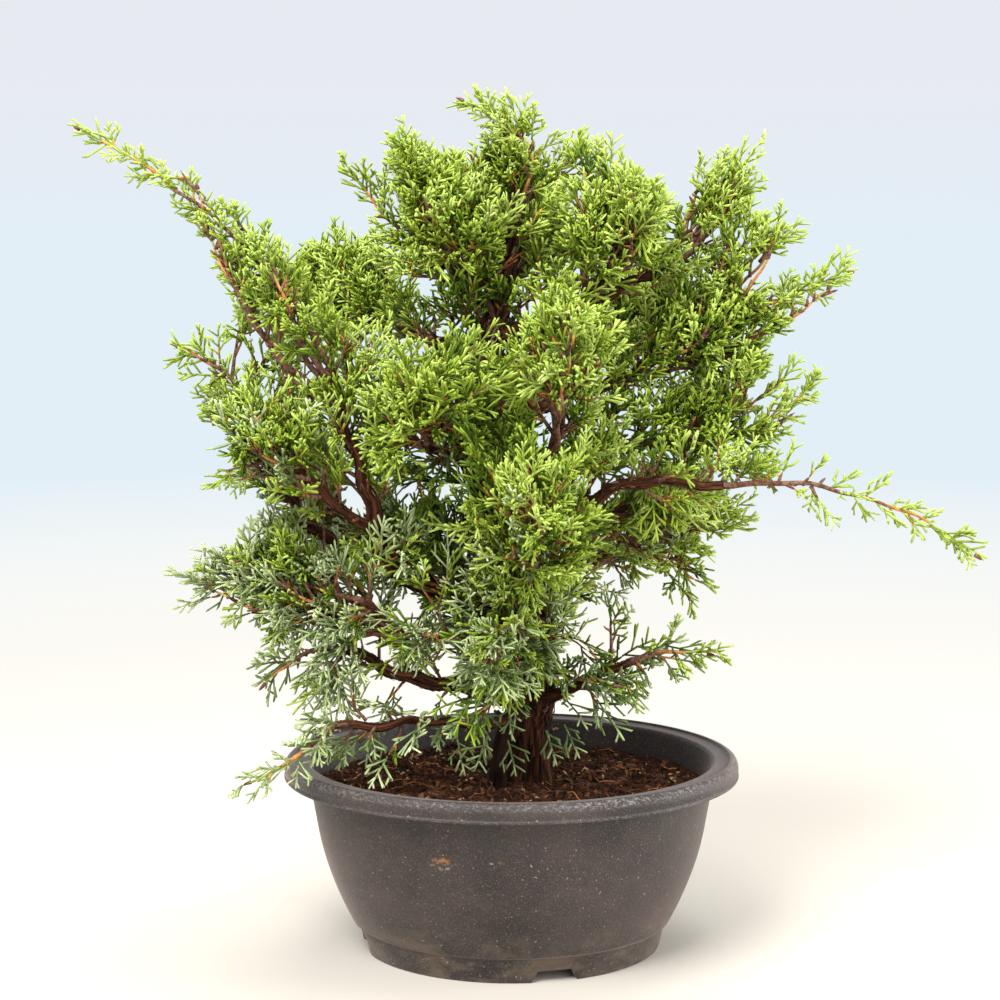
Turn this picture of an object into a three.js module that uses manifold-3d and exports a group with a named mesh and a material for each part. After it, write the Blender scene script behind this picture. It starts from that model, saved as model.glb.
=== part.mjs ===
// A juniper bonsai in its oval plastic training pot. Millimetres, degrees, +Z up, front towards -Y.
// Places are measured from the middle of the pot's foot. At the end the whole group is moved so that its
// origin is the middle of the plane it stands on.

import * as THREE from "three";
import { mergeVertices } from "three/addons/utils/BufferGeometryUtils.js";
import Module from "manifold-3d";

const wasm = await Module();
wasm.setup();

// Gap between two pieces that touch.
const CLEAR = 0.3;

// Pot: half widths across its long side, and heights. Its depth is a share of its width.
const POT_DEPTH_SHARE = 0.78;
const POT_HEIGHT = 98.3;
const POT_SEGMENTS = 32;
const RIM_HALF = 115;
const RIM_SKIRT = 9.5;
const RIM_STEP = 4.6;
const RIM_STEP_DROP = 1.2;
const RIM_INNER_HALF = 101.5;
const RIM_ROUND = 1;
const LIP_ROUND = 2.6;
const PLASTIC = 2.4;
const WALL_TOP_HALF = 102.6;
const WALL_FLARE = 0.17;
const WALL_FOOT_Z = 14;
const WALL_HEIGHTS = [14, 21, 31, 46, 70];
const LINING_HEIGHTS = [46, 25];
const WALL_CURL = 9;
const WALL_CURL_HEIGHT = 48;
const WALL_CURL_POWER = 1.9;
const FOOT_HALF = 75.7;
const FOOT_TOP_HALF = 78.6;
const FOOT_RING = 5;
const FLOOR_Z = 5;
const NOTCH_WIDTH = 20;
const NOTCH_HEIGHT = 6;
const NOTCH_HEADINGS = [-74, 10, 106, 190];

// Soil: level round the trunk, a little lower and uneven towards the pot's wall.
const GROUND = 85;
const SOIL_LEVEL_RADIUS = 30;
const SOIL_EDGE_DROP = 2.2;
const SOIL_BUMP = 0.9;
const SOIL_BUMP_SPREAD = 8;

// Trunk: its way up from the ground, its thickness, and the flare of its roots.
const TRUNK_WAY = [
  [11, 0, 85],
  [13, 0, 112],
  [15, 2, 148],
  [4, 4, 194],
  [-12, 0, 235],
  [-21, -4, 263],
  [-17, -2, 295],
  [-5, 3, 327],
  [1, 2, 360],
];
const TRUNK_THICK = [25, 9];
const TRUNK_TAPER = 1.7;
const TRUNK_SIDES = 10;
const TRUNK_STEPS = 18;
const ROOT_SINK = 5;
const ROOT_HEADINGS = [178, 100, 25, -42, -128];
const ROOT_STRENGTHS = [0.95, 0.6, 0.7, 0.55, 0.75];
const ROOT_HEIGHT = 11;
const ROOT_NARROW = 6;
const FORK_HEADING = -96;
const FORK_DEPTH = 0.28;
const FORK_NARROW = 8;
const FORK_HEIGHT = 34;

// Boughs: the limb that each one leaves and the share of that limb's length where it does, its heading round
// +Z from +X and its climb above the level at its foot and at its tip, its length, and its thickness at both.
const BOUGHS = {
  left: bough("trunk", 0.34, [-160, -156], [-14, 52], 83, [12.4, 9]),
  left_riser: bough("left", 1, [-132, -188], [68, 78], 94, [8.6, 4.4]),
  left_outer: bough("left", 0.92, [150, 188], [-2, 88], 111, [6.4, 4.2]),
  left_mid: bough("left_riser", 0.14, [-140, -152], [20, 56], 55, [5, 4.2]),
  left_low: bough("trunk", 0.15, [-162, -162], [6, 30], 106, [9.4, 4.4]),
  left_rise: bough("left_low", 0.65, [-126, -160], [82, 34], 48, [4.6, 4]),
  left_ground: bough("trunk", 0.1, [-150, -160], [10, 2], 107, [4.4, 3.8]),
  right_low: bough("trunk", 0.15, [-40, -24], [18, 32], 60, [6, 4.2]),
  right_long: bough("trunk", 0.41, [-56, 4], [50, -10], 125, [8, 4.2]),
  right_mid: bough("trunk", 0.57, [18, -10], [16, 4], 79, [7, 4.4]),
  right_upper: bough("trunk", 0.68, [24, -12], [2, 24], 90, [8.4, 4.4]),
  upper_right: bough("trunk", 0.82, [10, -30], [6, 46], 67, [7, 4.4]),
  right_top: bough("upper_right", 0.67, [18, 6], [14, 32], 62, [4.6, 4]),
  right_shoulder: bough("right_upper", 0.82, [26, -32], [20, 58], 67, [4.6, 4]),
  right_hang: bough("trunk", 0.36, [32, -8], [52, 18], 67, [6, 4.2]),
  center_front: bough("trunk", 0.54, [-52, -72], [-8, 82], 97, [6, 4.2]),
  center_low: bough("trunk", 0.4, [-58, -104], [8, 20], 60, [5.4, 4.2]),
  left_center: bough("trunk", 0.58, [-132, -106], [16, 20], 54, [5.6, 4.2]),
  rear_right: bough("trunk", 0.72, [54, 34], [4, 18], 95, [7, 4.4]),
  rear_left: bough("trunk", 0.79, [128, 144], [2, 18], 70, [6.4, 4.4]),
  rear_mid: bough("trunk", 0.55, [76, 80], [14, 10], 65, [6.4, 4.4]),
  rear_left_low: bough("trunk", 0.36, [146, 154], [8, 16], 81, [6.4, 4.4]),
  rear_right_low: bough("trunk", 0.3, [52, 44], [28, 12], 77, [6, 4.2]),
};
const BOUGH_SIDES = 5;
const SHORT_BOUGH = 72;
const LIMB_STEPS = 6;

// Foliage masses: where each one's stem grows from and its way, as for a bough, and how far its twigs reach
// from the stem, at equal steps along it.
const MASSES = {
  apex: mass("trunk", 1, [-2, -224], [98, 18], 87, [30, 32, 20, 12, 9]),
  upper_left: mass("trunk", 0.88, [-138, -180], [34, 76], 87, [6, 36, 22]),
  upper_tip: mass("trunk", 0.84, [-188, -176], [30, 56], 108, [3, 5, 18, 9]),
  upper_right: mass("upper_right", 1, [-60, -76], [52, 52], 42, [32, 36, 30]),
  right_top: mass("right_top", 1, [0, 0], [60, 48], 68, [24, 18, 8]),
  right_shoulder: mass("right_shoulder", 1, [-16, -34], [44, 48], 61, [24, 18, 8]),
  right_cloud: mass("right_upper", 1, [-20, 14], [18, 28], 124, [34, 36, 20, 11, 7]),
  right_lower: mass("right_mid", 1, [-18, 26], [2, 36], 108, [32, 33, 24, 13, 8]),
  right_long: mass("right_long", 1, [-8, -10], [9, -41], 136, [16, 14, 15, 12, 8]),
  right_hang: mass("right_hang", 1, [-2, -30], [-26, -84], 60, [28, 27, 16]),
  right_low: mass("right_low", 1, [-20, -10], [22, -12], 44, [18, 19, 8]),
  right_foot: mass("trunk", 0.19, [-62, -40], [14, -4], 62, [4, 16, 17]),
  center_front: mass("center_front", 1, [-92, -92], [48, 48], 42, [34, 38]),
  center_low: mass("center_low", 1, [-92, -92], [14, 14], 41, [30, 38]),
  center_foot: mass("trunk", 0.26, [-102, -112], [18, -12], 79, [5, 26, 24]),
  low_front: mass("trunk", 0.18, [-106, -134], [10, -18], 75, [4, 18, 16]),
  left_foot: mass("trunk", 0.22, [-132, -146], [24, 8], 84, [4, 10, 24, 22]),
  left_center: mass("left_center", 1, [-102, -102], [36, 36], 45, [32, 38]),
  left_top: mass("left_riser", 1, [174, 190], [63, 24], 170, [30, 30, 18, 12, 10, 7]),
  left_tip: mass("left_outer", 1, [-148, -186], [68, 14], 57, [18, 17, 10]),
  left_mid: mass("left_mid", 1, [166, 166], [26, 26], 27, [34, 29]),
  left_cloud: mass("left_rise", 1, [172, 170], [16, -4], 85, [24, 32, 15]),
  left_low: mass("left_low", 1, [-170, -170], [4, -38], 46, [18, 20, 10]),
  left_rim: mass("left_ground", 1, [-134, -158], [-30, -18], 54, [14, 13, 9]),
  rear_top: mass("trunk", 0.9, [82, 74], [16, 36], 77, [6, 34, 32]),
  rear_right: mass("rear_right", 1, [44, 44], [20, 20], 47, [38, 42]),
  rear_left: mass("rear_left", 1, [138, 138], [24, 24], 42, [38, 42]),
  rear_mid: mass("rear_mid", 1, [88, 88], [16, 16], 44, [36, 42]),
  rear_left_low: mass("rear_left_low", 1, [150, 150], [18, 18], 43, [34, 38]),
  rear_right_low: mass("rear_right_low", 1, [44, 44], [16, 16], 38, [32, 36]),
  rear_low: mass("trunk", 0.22, [106, 94], [6, 8], 78, [5, 28, 26]),
};

// Colours and roughness. The leaves are dull and greyish low down and fresher with height.
const POT_BLACK = 0x4b4643;
const SOIL_BROWN = 0x3d271b;
const TRUNK_BROWN = 0x4a3020;
const BOUGH_BROWN = 0x58382a;
const GREENS = [[175, 0x7c8b58], [270, 0x74903a], [Infinity, 0x8aa53c]];
const POT_ROUGHNESS = 0.6;
const LEAF_ROUGHNESS = 0.7;
const ROUGH = 0.9;

// Foliage stems, which stop short of the end of their mass's way.
const STEM_SIDES = 4;
const STEM_THICK = [4.4, 3.8];
const STEM_BACK = 9;
const STEM_SINK = 2;

// Twigs and leaves: each leaf stands for a spray of scale leaves.
const GOLDEN_ANGLE = 180 * (3 - Math.sqrt(5));
const SPACE_GAP = 2.4;
const LIMB_GAP = 1.8;
const POT_GAP = 4;
const TWIG_SKIN = 2600;
const TWIG_SPACING = 14;
const TWIG_LEAN = [78, 36];
const FULL_REACH = 34;
const TWIG_LIFT = 0.2;
const TWIG_THICK = [2.2, 1.8];
const TWIG_LEAST_SHARE = 0.3;
const LEAF_LENGTH = 42;
const LEAF_PAST_TWIG = 0.7;
const LEAF_SHORTEST = 8;
const LEAF_SHRINK = 0.93;
const LEAF_WIDTH_SHARE = 0.72;
const LEAF_THICK_SHARE = 0.1;
const LEAF_WAIST = 0.5;
const LEAF_SINK = 0.3;
const LEAF_STEP = 9;
const LEAF_ANGLE = 62;
const LEAF_APART = 4;
const BLADE_ROLL = 2.5;
const LEAF_PROBES = [[0.4, 0], [0.7, 0], [1, 0], [0.5, 1], [0.5, -1], [0.75, 0.5], [0.75, -0.5]];
const MARCH_STEP = 2;

const UP = new THREE.Vector3(0, 0, 1);

function bough(on, at, heading, climb, length, thick) {
  return { on, at, heading, climb, length, thick };
}

function mass(on, at, heading, climb, length, reach) {
  return { on, at, heading, climb, length, reach };
}

// A number from 0 to 1 that is fixed by a seed and an index.
function dealt(seed, index) {
  const wave = Math.sin(index * 12.9898 + seed * 78.233) * 43758.5453;
  return wave - Math.floor(wave);
}

function mix(pair, share) {
  return pair[0] + (pair[1] - pair[0]) * share;
}

// A list of values at equal steps, read at a share of its length.
function read(values, share) {
  const place = Math.min(Math.max(share, 0), 1) * (values.length - 1);
  const low = Math.min(Math.floor(place), values.length - 2);
  return mix([values[low], values[low + 1]], place - low);
}

function lengthOf(path) {
  return path.slice(1).reduce((sum, point, i) => sum + point.distanceTo(path[i]), 0);
}

// The point at a share of a path's length.
function pointAlong(path, share) {
  const lengths = path.slice(1).map((point, i) => point.distanceTo(path[i]));
  let left = share * lengthOf(path);
  for (let i = 0; i < lengths.length; i++) {
    if (left <= lengths[i] || i === lengths.length - 1)
      return path[i].clone().lerp(path[i + 1], Math.min(left / lengths[i], 1));
    left -= lengths[i];
  }
}

// A limb's path: its heading and climb turn evenly from foot to tip.
function grow(start, limb) {
  const path = [start.clone()];
  for (let i = 0; i < LIMB_STEPS; i++) {
    const share = (i + 0.5) / LIMB_STEPS;
    const heading = THREE.MathUtils.degToRad(mix(limb.heading, share));
    const climb = THREE.MathUtils.degToRad(mix(limb.climb, share));
    const flat = Math.cos(climb);
    const step = new THREE.Vector3(flat * Math.cos(heading), flat * Math.sin(heading), Math.sin(climb));
    path.push(path[i].clone().addScaledVector(step, limb.length / LIMB_STEPS));
  }
  return path;
}

// At each point of a path, the direction along it and two more square to that, carried on without twist.
function frames(path) {
  const last = path.length - 1;
  const after = (i) => path[Math.min(i + 1, last)].clone();
  const along = path.map((_, i) => after(i).sub(path[Math.max(i - 1, 0)]).normalize());
  let across = Math.abs(along[0].x) < 0.9 ? new THREE.Vector3(1, 0, 0) : new THREE.Vector3(0, 1, 0);
  return along.map((direction) => {
    across = across.clone().addScaledVector(direction, -across.dot(direction)).normalize();
    return { along: direction, across, over: direction.clone().cross(across) };
  });
}

// A closed tube round a path, its radius given by the share of its length and the angle round it.
function tube(path, sides, radiusAt) {
  const steps = path.length - 1;
  const geometry = new THREE.CylinderGeometry(1, 1, 1, sides, steps);
  const position = geometry.attributes.position;
  const vertex = new THREE.Vector3();
  const frame = frames(path);
  for (let i = 0; i < position.count; i++) {
    vertex.fromBufferAttribute(position, i);
    const ring = Math.round((vertex.y + 0.5) * steps);
    const angle = Math.atan2(-vertex.z, vertex.x);
    const radius = Math.hypot(vertex.x, vertex.z) * radiusAt(ring / steps, angle);
    const placed = path[ring]
      .clone()
      .addScaledVector(frame[ring].across, radius * Math.cos(angle))
      .addScaledVector(frame[ring].over, radius * Math.sin(angle));
    position.setXYZ(i, placed.x, placed.y, placed.z);
  }
  return geometry;
}

// A closed geometry as a solid that can be joined and cut.
function solid(geometry) {
  geometry.deleteAttribute("normal");
  geometry.deleteAttribute("uv");
  const merged = mergeVertices(geometry, 1e-4);
  const corners = merged.index.array;
  const triangles = [];
  for (let i = 0; i < corners.length; i += 3) {
    const [a, b, c] = corners.slice(i, i + 3);
    if (a !== b && b !== c && c !== a) triangles.push(a, b, c);
  }
  const vertProperties = new Float32Array(merged.attributes.position.array);
  return new wasm.Manifold(new wasm.Mesh({ numProp: 3, vertProperties, triVerts: new Uint32Array(triangles) }));
}

// Solids joined two by two.
function fused(solids) {
  let rest = solids;
  while (rest.length > 1) {
    const joined = [];
    for (let i = 0; i < rest.length; i += 2)
      joined.push(i + 1 < rest.length ? rest[i].add(rest[i + 1]) : rest[i]);
    rest = joined;
  }
  return rest[0];
}

// The largest body of a solid, without its loose scraps and sealed hollows.
function largest(whole) {
  return whole.decompose().reduce((best, body) => (body.volume() > best.volume() ? body : best));
}

function named(name, body, colour, roughness) {
  const { vertProperties, triVerts } = body.getMesh();
  const geometry = new THREE.BufferGeometry()
    .setAttribute("position", new THREE.BufferAttribute(vertProperties, 3))
    .setIndex(new THREE.BufferAttribute(triVerts, 1));
  const material = new THREE.MeshStandardMaterial({ color: colour, roughness, metalness: 0, flatShading: true });
  const mesh = new THREE.Mesh(geometry, material);
  mesh.name = name;
  return mesh;
}

// A profile of [half width, height] pairs turned into an oval body.
function ovalBody(profile) {
  const points = profile.map(([half, height]) => new THREE.Vector2(half, height));
  return new THREE.LatheGeometry(points, POT_SEGMENTS).rotateX(Math.PI / 2).scale(1, POT_DEPTH_SHARE, 1);
}

// The pot wall's outer half width: a straight flare that curls in towards the foot.
function wallHalf(height) {
  const curl = Math.max(0, 1 - (height - WALL_FOOT_Z) / WALL_CURL_HEIGHT);
  const wallTop = POT_HEIGHT - RIM_SKIRT;
  return WALL_TOP_HALF - WALL_FLARE * (wallTop - height) - WALL_CURL * curl ** WALL_CURL_POWER;
}

function potBody() {
  const flangeZ = POT_HEIGHT - PLASTIC;
  const skirtZ = POT_HEIGHT - RIM_SKIRT;
  const stepZ = POT_HEIGHT - RIM_STEP_DROP;
  const outer = [...WALL_HEIGHTS, flangeZ].map((height) => [wallHalf(height), height]);
  const inner = [flangeZ - PLASTIC, ...LINING_HEIGHTS].map((height) => [wallHalf(height) - PLASTIC, height]);
  const profile = [
    [0, FLOOR_Z],
    [FOOT_HALF - FOOT_RING, FLOOR_Z],
    [FOOT_HALF - FOOT_RING, 0],
    [FOOT_HALF, 0],
    [FOOT_TOP_HALF, WALL_FOOT_Z - RIM_ROUND],
    ...outer,
    [RIM_HALF - PLASTIC, flangeZ],
    [RIM_HALF - PLASTIC, skirtZ],
    [RIM_HALF, skirtZ],
    [RIM_HALF, POT_HEIGHT - LIP_ROUND],
    [RIM_HALF - LIP_ROUND / 3, POT_HEIGHT - LIP_ROUND / 3],
    [RIM_HALF - LIP_ROUND, POT_HEIGHT],
    [RIM_HALF - RIM_STEP, POT_HEIGHT],
    [RIM_HALF - RIM_STEP - RIM_ROUND / 2, stepZ],
    [RIM_INNER_HALF + RIM_ROUND, stepZ],
    [RIM_INNER_HALF, stepZ - RIM_ROUND],
    ...inner,
    [FOOT_HALF - FOOT_RING, FLOOR_Z + PLASTIC],
    [0, FLOOR_Z + PLASTIC],
  ];
  const notches = NOTCH_HEADINGS.map((degrees) => {
    const heading = THREE.MathUtils.degToRad(degrees);
    const notch = new THREE.BoxGeometry(4 * FOOT_RING, NOTCH_WIDTH, 2 * NOTCH_HEIGHT);
    notch.rotateZ(heading);
    const half = FOOT_HALF - FOOT_RING / 2;
    notch.translate(half * Math.cos(heading), half * POT_DEPTH_SHARE * Math.sin(heading), 0);
    return solid(notch);
  });
  return solid(ovalBody(profile)).subtract(fused(notches));
}

// The soil fills the pot's inside and is uneven outside the level ring round the trunk.
function soilBody() {
  const lining = 2 * CLEAR + PLASTIC;
  const side = [...LINING_HEIGHTS].reverse().map((height) => [wallHalf(height) - lining, height]);
  const topHalf = wallHalf(GROUND) - lining - CLEAR;
  const edgeZ = GROUND - SOIL_EDGE_DROP;
  const profile = [
    [0, FLOOR_Z + PLASTIC + CLEAR],
    [FOOT_HALF - FOOT_RING - 1, FLOOR_Z + PLASTIC + CLEAR],
    ...side,
    [topHalf, edgeZ],
    [(topHalf + SOIL_LEVEL_RADIUS) / 2, (edgeZ + GROUND) / 2],
    [SOIL_LEVEL_RADIUS, GROUND],
    [0, GROUND],
  ];
  const geometry = ovalBody(profile);
  const position = geometry.attributes.position;
  for (let i = 0; i < position.count; i++) {
    const [x, y, z] = [position.getX(i), position.getY(i), position.getZ(i)];
    const uneven = Math.sin(x / SOIL_BUMP_SPREAD + 0.5) * Math.cos(y / SOIL_BUMP_SPREAD - 0.4);
    if (z > edgeZ - 0.1 && z < GROUND - 0.1) position.setZ(i, z + SOIL_BUMP * uneven);
  }
  return solid(geometry);
}

function trunkPath() {
  const points = TRUNK_WAY.map((point) => new THREE.Vector3(...point));
  const curve = new THREE.CatmullRomCurve3(points, false, "catmullrom", 0.5);
  return curve.getSpacedPoints(TRUNK_STEPS);
}

// The trunk's radius tapers to its tip. Low down, root lobes swell it and a groove parts it into two strands.
function trunkRadius(share, angle, length) {
  const thick = TRUNK_THICK[1] + (TRUNK_THICK[0] - TRUNK_THICK[1]) * (1 - share ** TRUNK_TAPER);
  const height = share * length;
  let swell = 0;
  ROOT_HEADINGS.forEach((heading, i) => {
    const facing = Math.max(0, Math.cos(angle - THREE.MathUtils.degToRad(heading)));
    swell += ROOT_STRENGTHS[i] * facing ** ROOT_NARROW;
  });
  const facingFork = Math.max(0, Math.cos(angle - THREE.MathUtils.degToRad(FORK_HEADING)));
  const groove = FORK_DEPTH * facingFork ** FORK_NARROW * Math.exp(-height / FORK_HEIGHT);
  return (thick / 2) * (1 + swell * Math.exp(-height / ROOT_HEIGHT) - groove);
}

// The trunk's tube starts under the ground and is cut flat on it.
function trunkBody(path, extra) {
  const length = lengthOf(path);
  const under = new THREE.Vector3(0, 0, -ROOT_SINK);
  const tip = path[TRUNK_STEPS].clone().sub(path[TRUNK_STEPS - 1]).setLength(extra);
  const whole = [path[0].clone().add(under), ...path.slice(0, -1), path[TRUNK_STEPS].clone().add(tip)];
  const shareOfTrunk = (share) => Math.max(0, (share * (TRUNK_STEPS + 1) - 1) / TRUNK_STEPS);
  const radiusAt = (share, angle) => trunkRadius(shareOfTrunk(share), angle, length) + extra;
  const below = new THREE.BoxGeometry(RIM_HALF, RIM_HALF, GROUND).translate(0, 0, GROUND / 2 + CLEAR - extra);
  return solid(tube(whole, TRUNK_SIDES, radiusAt)).subtract(solid(below));
}

// A bough's tube, drawn out by the extra at its tip as well as round it.
function boughBody(path, { length, thick }, extra) {
  const tip = path[LIMB_STEPS].clone().sub(path[LIMB_STEPS - 1]).setLength(extra);
  const bends = path.filter((_, i) => length > SHORT_BOUGH || i % 2 === 0);
  const whole = [...bends.slice(0, -1), path[LIMB_STEPS].clone().add(tip)];
  return solid(tube(whole, BOUGH_SIDES, (share) => mix(thick, share) / 2 + extra));
}

// The nearest point of a path to a place: its distance, and its share of the path's steps.
function nearest(path, place) {
  const best = { distance: Infinity, share: 0 };
  const span = new THREE.Vector3();
  const offset = new THREE.Vector3();
  for (let i = 0; i < path.length - 1; i++) {
    span.subVectors(path[i + 1], path[i]);
    offset.subVectors(place, path[i]);
    const step = Math.min(Math.max(offset.dot(span) / span.lengthSq(), 0), 1);
    const distance = offset.addScaledVector(span, -step).length();
    if (distance < best.distance) {
      best.distance = distance;
      best.share = (i + step) / (path.length - 1);
    }
  }
  return best;
}

// How far out in a mass a place lies: 0 on its stem, 1 at its skin. Near its bare root the reach is short.
function depthIn(mass, place) {
  let best = { depth: Infinity, reach: 1 };
  const span = new THREE.Vector3();
  const offset = new THREE.Vector3();
  for (let i = 0; i < LIMB_STEPS; i++) {
    span.subVectors(mass.path[i + 1], mass.path[i]);
    offset.subVectors(place, mass.path[i]);
    const step = Math.min(Math.max(offset.dot(span) / span.lengthSq(), 0), 1);
    const reach = read(mass.reach, (i + step) / LIMB_STEPS);
    const depth = offset.addScaledVector(span, -step).length() / reach;
    if (depth < best.depth) best = { depth, reach };
  }
  return best;
}

// A place is in a mass's space when it is within reach of its stem and deeper in it than in any other mass.
function inSpace(mass, place) {
  const own = depthIn(mass, place);
  if (own.depth > 1) return false;
  return masses.every((other) => {
    const theirs = depthIn(other, place);
    const gap = (SPACE_GAP / 2) * (1 / own.reach + 1 / theirs.reach);
    return other === mass || own.depth + gap <= theirs.depth;
  });
}

function clearOfLimbs(place) {
  return limbs.every((limb) => {
    const { distance, share } = nearest(limb.path, place);
    return distance > limb.radiusAt(share) + LIMB_GAP;
  });
}

// Foliage keeps above the soil and the rim, or outside them.
function clearOfPot(place) {
  const half = Math.hypot(place.x, place.y / POT_DEPTH_SHARE);
  if (half > RIM_HALF + POT_GAP) return true;
  return place.z > (half > RIM_INNER_HALF - POT_GAP ? POT_HEIGHT : GROUND) + POT_GAP;
}

function free(mass, place) {
  return inSpace(mass, place) && clearOfLimbs(place) && clearOfPot(place);
}

// The free way from a place outwards, up to a limit.
function room(mass, start, direction, limit) {
  const place = new THREE.Vector3();
  let way = 0;
  for (let next = 2 * MARCH_STEP; next <= limit; next += MARCH_STEP) {
    place.copy(start).addScaledVector(direction, next);
    if (!free(mass, place)) return way;
    way = next;
  }
  return way;
}

// A thin three-sided body drawn along a direction. Each ring holds its run from the root and its half width
// and half thickness, which are 0 where the body ends in a point.
function blade(root, direction, side, rings) {
  const over = direction.clone().cross(side);
  const geometry = new THREE.CylinderGeometry(1, 1, 1, 3, rings.length - 1);
  const position = geometry.attributes.position;
  for (let i = 0; i < position.count; i++) {
    const [x, y, z] = [position.getX(i), position.getY(i), position.getZ(i)];
    const [run, halfWidth, halfThick] = rings[Math.round((y + 0.5) * (rings.length - 1))];
    const placed = root
      .clone()
      .addScaledVector(direction, run)
      .addScaledVector(side, x * halfWidth)
      .addScaledVector(over, -z * halfThick);
    position.setXYZ(i, placed.x, placed.y, placed.z);
  }
  return solid(geometry);
}

// The rings of a leaf, from a point of its twig on: widest at its waist, with a point at its tip.
function leafRings(from, length) {
  const halfWidth = (LEAF_WIDTH_SHARE * length) / Math.sqrt(3);
  const halfThick = (LEAF_THICK_SHARE * length) / 1.5;
  return [[from + LEAF_WAIST * length, halfWidth, halfThick], [from + length, 0, 0]];
}

// How long a leaf the mass's space and its other leaves allow, or 0.
function leafRoom(mass, root, direction, side) {
  const way = room(mass, root, direction, LEAF_LENGTH);
  for (let length = way; length >= LEAF_SHORTEST; length *= LEAF_SHRINK) {
    const halfWidth = (LEAF_WIDTH_SHARE * length) / 2;
    const probe = ([run, out]) =>
      root.clone().addScaledVector(direction, run * length).addScaledVector(side, out * halfWidth);
    const probes = LEAF_PROBES.map(probe);
    const apart = probes.every((place) => mass.taken.every((taken) => place.distanceTo(taken) > LEAF_APART));
    if (apart && probes.every((place) => free(mass, place))) {
      mass.taken.push(...probes);
      return length;
    }
  }
  return 0;
}

// A leaf to each side of a twig in turn, at equal steps back from its end.
function sideLeaves(mass, start, direction, side, twig) {
  const over = direction.clone().cross(side);
  const leaves = [];
  const count = Math.round(twig / LEAF_STEP);
  for (let i = 0; i < count; i++) {
    const root = start.clone().addScaledVector(direction, twig - LEAF_STEP * (i + 0.5));
    const turn = THREE.MathUtils.degToRad(LEAF_ANGLE) * (i % 2 ? -1 : 1);
    const outward = direction.clone().applyAxisAngle(over, turn);
    const turnedSide = side.clone().applyAxisAngle(over, turn);
    const length = leafRoom(mass, root, outward, turnedSide);
    if (length) leaves.push(blade(root, outward, turnedSide, [[-LEAF_SINK, 0, 0], ...leafRings(0, length)]));
  }
  return leaves;
}

// The stem's bends: every other point of its mass's path, and an end short of the path's.
function stemOf(path) {
  const bends = path.filter((_, i) => i % 2 === 0);
  const back = bends[2].clone().sub(bends[3]).setLength(STEM_BACK);
  return [...bends.slice(0, 3), bends[3].clone().add(back)];
}

// The places of a mass's twigs, as shares of its stem: closer together where the reach is long and, to fill
// the space beyond the tip too, towards the tip.
function twigShares(mass) {
  const shares = [];
  let way = TWIG_SPACING / 2;
  while (way < mass.length) {
    const share = way / mass.length;
    shares.push(share);
    const skin = 2 * Math.PI * read(mass.reach, share) * (1 + share);
    way += Math.min(TWIG_SPACING, TWIG_SKIN / skin);
  }
  return shares;
}

// Twigs leave the stem round it by the golden angle and lift a little. They lean forward more towards its tip
// and where the reach is short. The first one carries the stem on.
function twigsOf(mass) {
  const frame = frames(mass.path);
  const twigs = twigShares(mass).map((share, i) => {
    const { along, across, over } = frame[Math.round(share * LIMB_STEPS)];
    const turn = THREE.MathUtils.degToRad(i * GOLDEN_ANGLE + 360 * dealt(mass.seed, 0));
    const forward = Math.max(share, 1 - read(mass.reach, share) / FULL_REACH);
    const lean = THREE.MathUtils.degToRad(mix(TWIG_LEAN, Math.min(forward, 1)));
    const direction = along.clone().multiplyScalar(Math.cos(lean));
    direction.addScaledVector(across, Math.sin(lean) * Math.cos(turn));
    direction.addScaledVector(over, Math.sin(lean) * Math.sin(turn));
    direction.addScaledVector(UP, TWIG_LIFT);
    direction.normalize();
    return { start: pointAlong(mass.stem, share), direction, roll: dealt(mass.seed, i + 1) };
  });
  const tip = pointAlong(mass.stem, 1 - STEM_SINK / mass.length);
  return [{ start: tip, direction: frame[LIMB_STEPS].along, roll: 0.5 }, ...twigs];
}

// A side direction for a twig's leaves: level, then rolled about the twig.
function bladeSide(direction, roll) {
  const level = direction.clone().cross(Math.abs(direction.z) < 0.95 ? UP : new THREE.Vector3(1, 0, 0));
  return level.normalize().applyAxisAngle(direction, (roll - 0.5) * BLADE_ROLL);
}

// A mass: its stem, twigs that end in a leaf as far as its space leaves room, and leaves at their sides.
function massBody(mass) {
  const pieces = [solid(tube(mass.stem, STEM_SIDES, (share) => mix(STEM_THICK, share) / 2))];
  for (const { start, direction, roll } of twigsOf(mass)) {
    const side = bladeSide(direction, roll);
    const way = room(mass, start, direction, 2 * FULL_REACH);
    const twig = Math.max(way - LEAF_LENGTH * LEAF_PAST_TWIG, way * TWIG_LEAST_SHARE);
    const end = start.clone().addScaledVector(direction, twig);
    const length = leafRoom(mass, end, direction, side);
    if (!length) continue;
    const foot = [0, TWIG_THICK[0] / 2, TWIG_THICK[0] / 2];
    const neck = [twig, TWIG_THICK[1] / 2, TWIG_THICK[1] / 2];
    pieces.push(blade(start, direction, side, [foot, neck, ...leafRings(twig, length)]));
    pieces.push(...sideLeaves(mass, start, direction, side, twig));
  }
  return fused(pieces);
}

const trunk = { name: "trunk", path: trunkPath() };
trunk.radiusAt = (share) => trunkRadius(share, 0, lengthOf(trunk.path));
trunk.body = trunkBody(trunk.path, 0);
trunk.fat = trunkBody(trunk.path, CLEAR);
const limbs = [trunk];
for (const [name, bough] of Object.entries(BOUGHS)) {
  const carrier = limbs.find((limb) => limb.name === bough.on);
  const path = grow(pointAlong(carrier.path, bough.at), bough);
  const radiusAt = (share) => mix(bough.thick, share) / 2;
  const body = largest(boughBody(path, bough, 0).subtract(carrier.fat));
  limbs.push({ name, path, radiusAt, body, fat: boughBody(path, bough, CLEAR) });
}

const masses = Object.entries(MASSES).map(([name, mass], i) => {
  const carrier = limbs.find((limb) => limb.name === mass.on);
  const path = grow(pointAlong(carrier.path, mass.at), mass);
  return { ...mass, name, seed: i + 1, carrier, taken: [], path, stem: stemOf(path) };
});

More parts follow.
